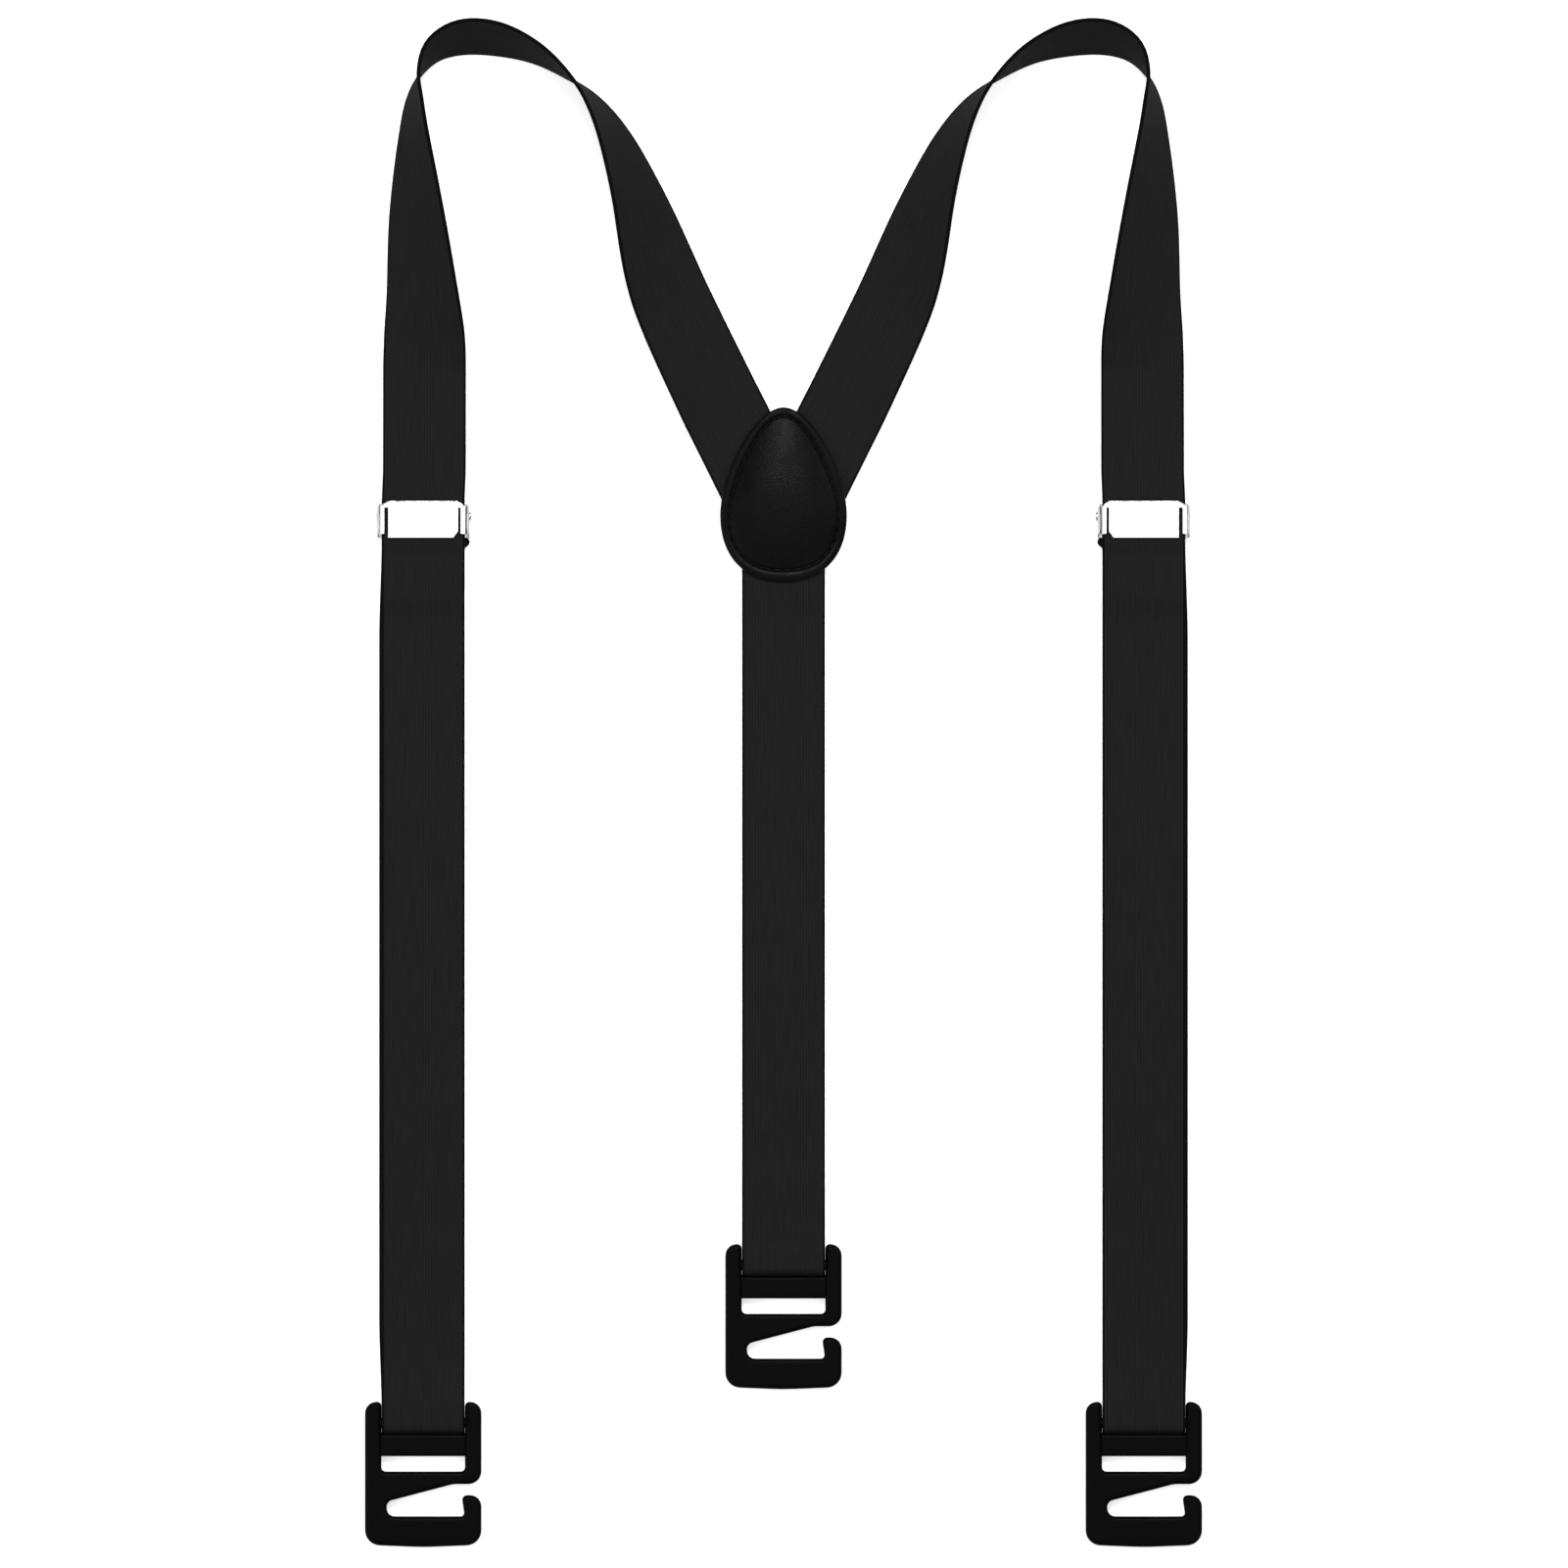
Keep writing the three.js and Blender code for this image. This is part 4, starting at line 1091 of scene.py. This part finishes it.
# turns an outline drawn in x and y so that it stands across the strap, facing along x
standing = Matrix(((0, 0, 1, 0), (1, 0, 0, 0), (0, 1, 0, 0), (0, 0, 0, 1)))
# turns an outline drawn in x and y so that it is a profile in x and z, running along y
lengthways = Matrix(((1, 0, 0, 0), (0, 0, 1, 0), (0, 1, 0, 0), (0, 0, 0, 1)))


def pressedLine(mesh, y):
    # the strip above y is pressed down a little, which leaves a fine line across the plate
    def press(work):
        for level in (y, y + 0.1, y + 0.2, y + 0.3):
            sliceAt(work, (0, level, 0), (0, 1, 0), dist=1e-5)
        for vert in work.verts:
            vert.co.z -= adjuster["pressed"] * float(smoothstep((vert.co.y - y) / 0.3))

    return editMesh(mesh, press)


def sideTab(sign, bend, start, y0, y1):
    # the sheet of the lever bends down into a tab at each side
    side, high = adjuster["tabOuter"], adjuster["leverTop"]
    inner, low, foot = adjuster["tabInner"], high - adjuster["lever"], adjuster["tabFoot"]
    profile = [
        (start, high - 0.01, 0),
        (side, high - 0.01, bend),
        (side, foot, 0.15),
        (inner, foot, 0.15),
        (inner, low, max(0.1, bend - (side - inner))),
        (start, low, 0),
    ]
    tab = plateMesh([roundedPath(profile, 8)], y0, y1, 0.08, lengthways)
    return flipped(tab) if sign < 0 else tab


def toothRow():
    pitch = (webbing["width"] - 1.8) / adjuster["teeth"]
    y, low = adjuster["pivotY"], adjuster["strapTop"] + 0.17
    row = []
    for i in range(adjuster["teeth"]):
        x = (i - (adjuster["teeth"] - 1) / 2) * pitch
        tooth = boxPath(x - 0.45, x + 0.45, y + 0.35, y - 0.35)
        row.append(plateMesh([tooth], low, adjuster["leverTop"] - 0.4, 0.06))
    return row


def leverMesh():
    half, top, side = adjuster["half"], adjuster["half"] - 0.1, adjuster["tabOuter"]
    stripEnd, slotTop = -half + 1.2, top - 2.0
    face, topCorner = side - 2.6, side - 2.8
    leftSlot, leftEdge = side - 1.6, side - 0.5
    rightSlot, rightEdge = side - 2.0, side - 1.05  # the inner strip's bend is the easier one
    corners = [
        (-topCorner, top, 0.5),
        (-leftEdge, top - 1.2, 0.3),
        (-leftEdge, stripEnd, 0.3),
        (-leftSlot, stripEnd, 0.3),
        (-leftSlot, slotTop, 0.3),
        (-face, slotTop, 0.3),
        (-face, -half, 0.35),
        (face - 1.5, -half, 0.3),
        (face, -half + 2, 0.3),
        (face, slotTop, 0.25),
        (rightSlot, slotTop, 0.25),
        (rightSlot, stripEnd, 0.3),
        (rightEdge, stripEnd, 0.3),
        (rightEdge, top - 1.1, 0.3),
        (topCorner, top, 0.5),
    ]
    z = adjuster["leverTop"]
    plate = plateMesh([roundedPath(corners, 4)], z - adjuster["lever"], z, 0.22)
    tabs = [
        sideTab(-1, adjuster["bend"] * 0.5, leftSlot + 0.4, stripEnd, top - 1.5),
        sideTab(1, adjuster["bend"], rightSlot + 0.4, stripEnd, top - 1.5),
    ]
    return joined([pressedLine(plate, top - 1.3)] + tabs + toothRow())


def crossBar(y0, y1, high):
    # a flat bar of the frame, from ear to ear; the inner ear leans, so it stands further out lower down
    outer = adjuster["earOuter"]
    reach = outer + adjuster["lean"] * (adjuster["leverTop"] - high) - 0.2
    return boxPath(-outer + 0.1, reach, y1, y0, 0.4, 4)


def frameMesh():
    half, outer, top = adjuster["half"], adjuster["earOuter"], adjuster["leverTop"]
    low, high, sheet = adjuster["rearZ"], adjuster["topBarZ"], adjuster["sheet"]
    rear = crossBar(-half, -half + adjuster["rearBar"], low)
    front = crossBar(half - adjuster["topBar"], half, high)
    solids = [plateMesh([rear], low, low + sheet, 0.2), plateMesh([front], high - sheet, high, 0.2)]
    ear = [(-half, low, 0.4), (half, low, 0.4), (half, top - 0.1, 1.5), (-half, top - 0.5, 1.6)]
    y, z = adjuster["bossY"], adjuster["bossZ"]
    for sign, lean, reach in ((-1, 0.02, 0.35), (1, adjuster["lean"], 0.5)):
        # each ear leans out towards its foot by lean times its height
        sloping = Matrix(((1, 0, -lean, lean * top), (0, 1, 0, 0), (0, 0, 1, 0), (0, 0, 0, 1)))
        wall = plateMesh([roundedPath(ear, 6)], adjuster["earInner"], outer, 0.1, sloping @ standing)
        face = outer + lean * (top - z)
        boss = roundBar(adjuster["bossRadius"], face - 0.4, face, y, z, 24, reach)
        solids += [flipped(wall), flipped(boss)] if sign < 0 else [wall, boss]
    return joined(solids)


def studMesh(sign):
    y, z = adjuster["pivotY"], adjuster["pivotZ"]
    inner, outer = adjuster["tabInner"], adjuster["earOuter"] + 0.04
    shank = roundBar(adjuster["stud"], inner, outer + 0.05, y, z, 20)
    head = roundBar(adjuster["studHead"], outer, outer + 0.06, y, z, 20, 0.2)
    mesh = joined([shank, head])
    return flipped(mesh) if sign < 0 else mesh


def makeAdjusters():
    for side, mirror in (("left", False), ("right", True)):
        x, y = -strapX, adjusterY
        made = {
            "Lever": (leverMesh(), f"{side}_lever", f"{side}_adjuster_lever"),
            "Frame": (frameMesh(), f"{side}_adjuster", f"{side}_adjuster_frame"),
            "OuterStud": (studMesh(-1), f"{side}_adjuster", f"{side}_outer_stud"),
            "InnerStud": (studMesh(1), f"{side}_adjuster", f"{side}_inner_stud"),
        }
        for part, (mesh, body, node) in made.items():
            finish = "nickel" if part == "Frame" else "chrome"
            piece = finishMesh(f"{side}{part}", placed(mesh, x, y), finish, mirror, 30, True)
            attach(piece, body, node)


# ---- camera, light and table ----
def makeCamera():
    view = {"height": 12.0, "wide": 0.4723, "middle": (0.00015, -0.0006)}
    camera = bpy.data.cameras.new("camera")
    camera.sensor_width = 36
    camera.lens = camera.sensor_width * view["height"] / view["wide"]
    scene.camera = addObject("camera", camera, (*view["middle"], view["height"]))


def makeTable():
    h = 3.0  # half the table's side
    material, tree, shader = newMaterial(
        "paleTable", Roughness=0.8, Specular_IOR_Level=0.1, Emission_Color=(1, 1, 1, 1), Emission_Strength=0.5
    )
    paper = noise(tree, objectPlace(tree), 900.0, 3.0)
    tree.links.new(mixColour(tree, paper, (0.87,) * 3, (0.9,) * 3), shader.inputs["Base Color"])
    mesh = bpy.data.meshes.new("table")
    mesh.from_pydata([(-h, -h, 0), (h, -h, 0), (h, h, 0), (-h, h, 0)], [], [(0, 1, 2, 3)])
    mesh.materials.append(material)
    addObject("table", mesh, (0, 0, -0.0001))


def makeLamps():
    lamps = {
        "above": {"at": (0.0, 0.5, 1.9), "size": 1.7, "watts": 5},
        "far": {"at": (0.0, 0.85, 1.75), "size": 0.35, "watts": 20},
        "left": {"at": (-1.3, -0.3, 0.9), "size": 0.6, "watts": 5},
        "right": {"at": (1.2, 0.4, 1.0), "size": 0.6, "watts": 4},
    }
    for name, lamp in lamps.items():
        light = bpy.data.lights.new(name, "AREA")
        light.shape, light.size, light.energy = "SQUARE", lamp["size"], lamp["watts"]
        holder = addObject(name, light, lamp["at"])
        holder.rotation_euler = (-Vector(lamp["at"])).to_track_quat("-Z", "Y").to_euler()


def makeSky():
    # brightest overhead and darker near the horizon, so bright metal shows its shape
    world = bpy.data.worlds.new("studio")
    world.use_nodes = True
    tree = world.node_tree
    towards = tree.nodes.new("ShaderNodeTexCoord").outputs["Generated"]
    up = addNode(tree, "SeparateXYZ", Vector=towards).outputs[2]
    sky = mixColour(tree, spread(tree, up, 0.25, 0.85), (0.12,) * 3, (1.0,) * 3)
    tree.links.new(sky, tree.nodes["Background"].inputs[0])
    scene.world = world
    scene.view_settings.view_transform = "Standard"


makeCamera()
makeTable()
makeLamps()
makeSky()
print("studio set")
for side, mirror in (("left", False), ("right", True)):
    makeShoulder(side, mirror)
    makeLowerWebbing(side, mirror)
makeBackWebbing()
makeStitching()
print("webbing and stitching made")
makePatch()
print("patch made")
makeHooks()
makeAdjusters()
print("hooks and adjusters made")
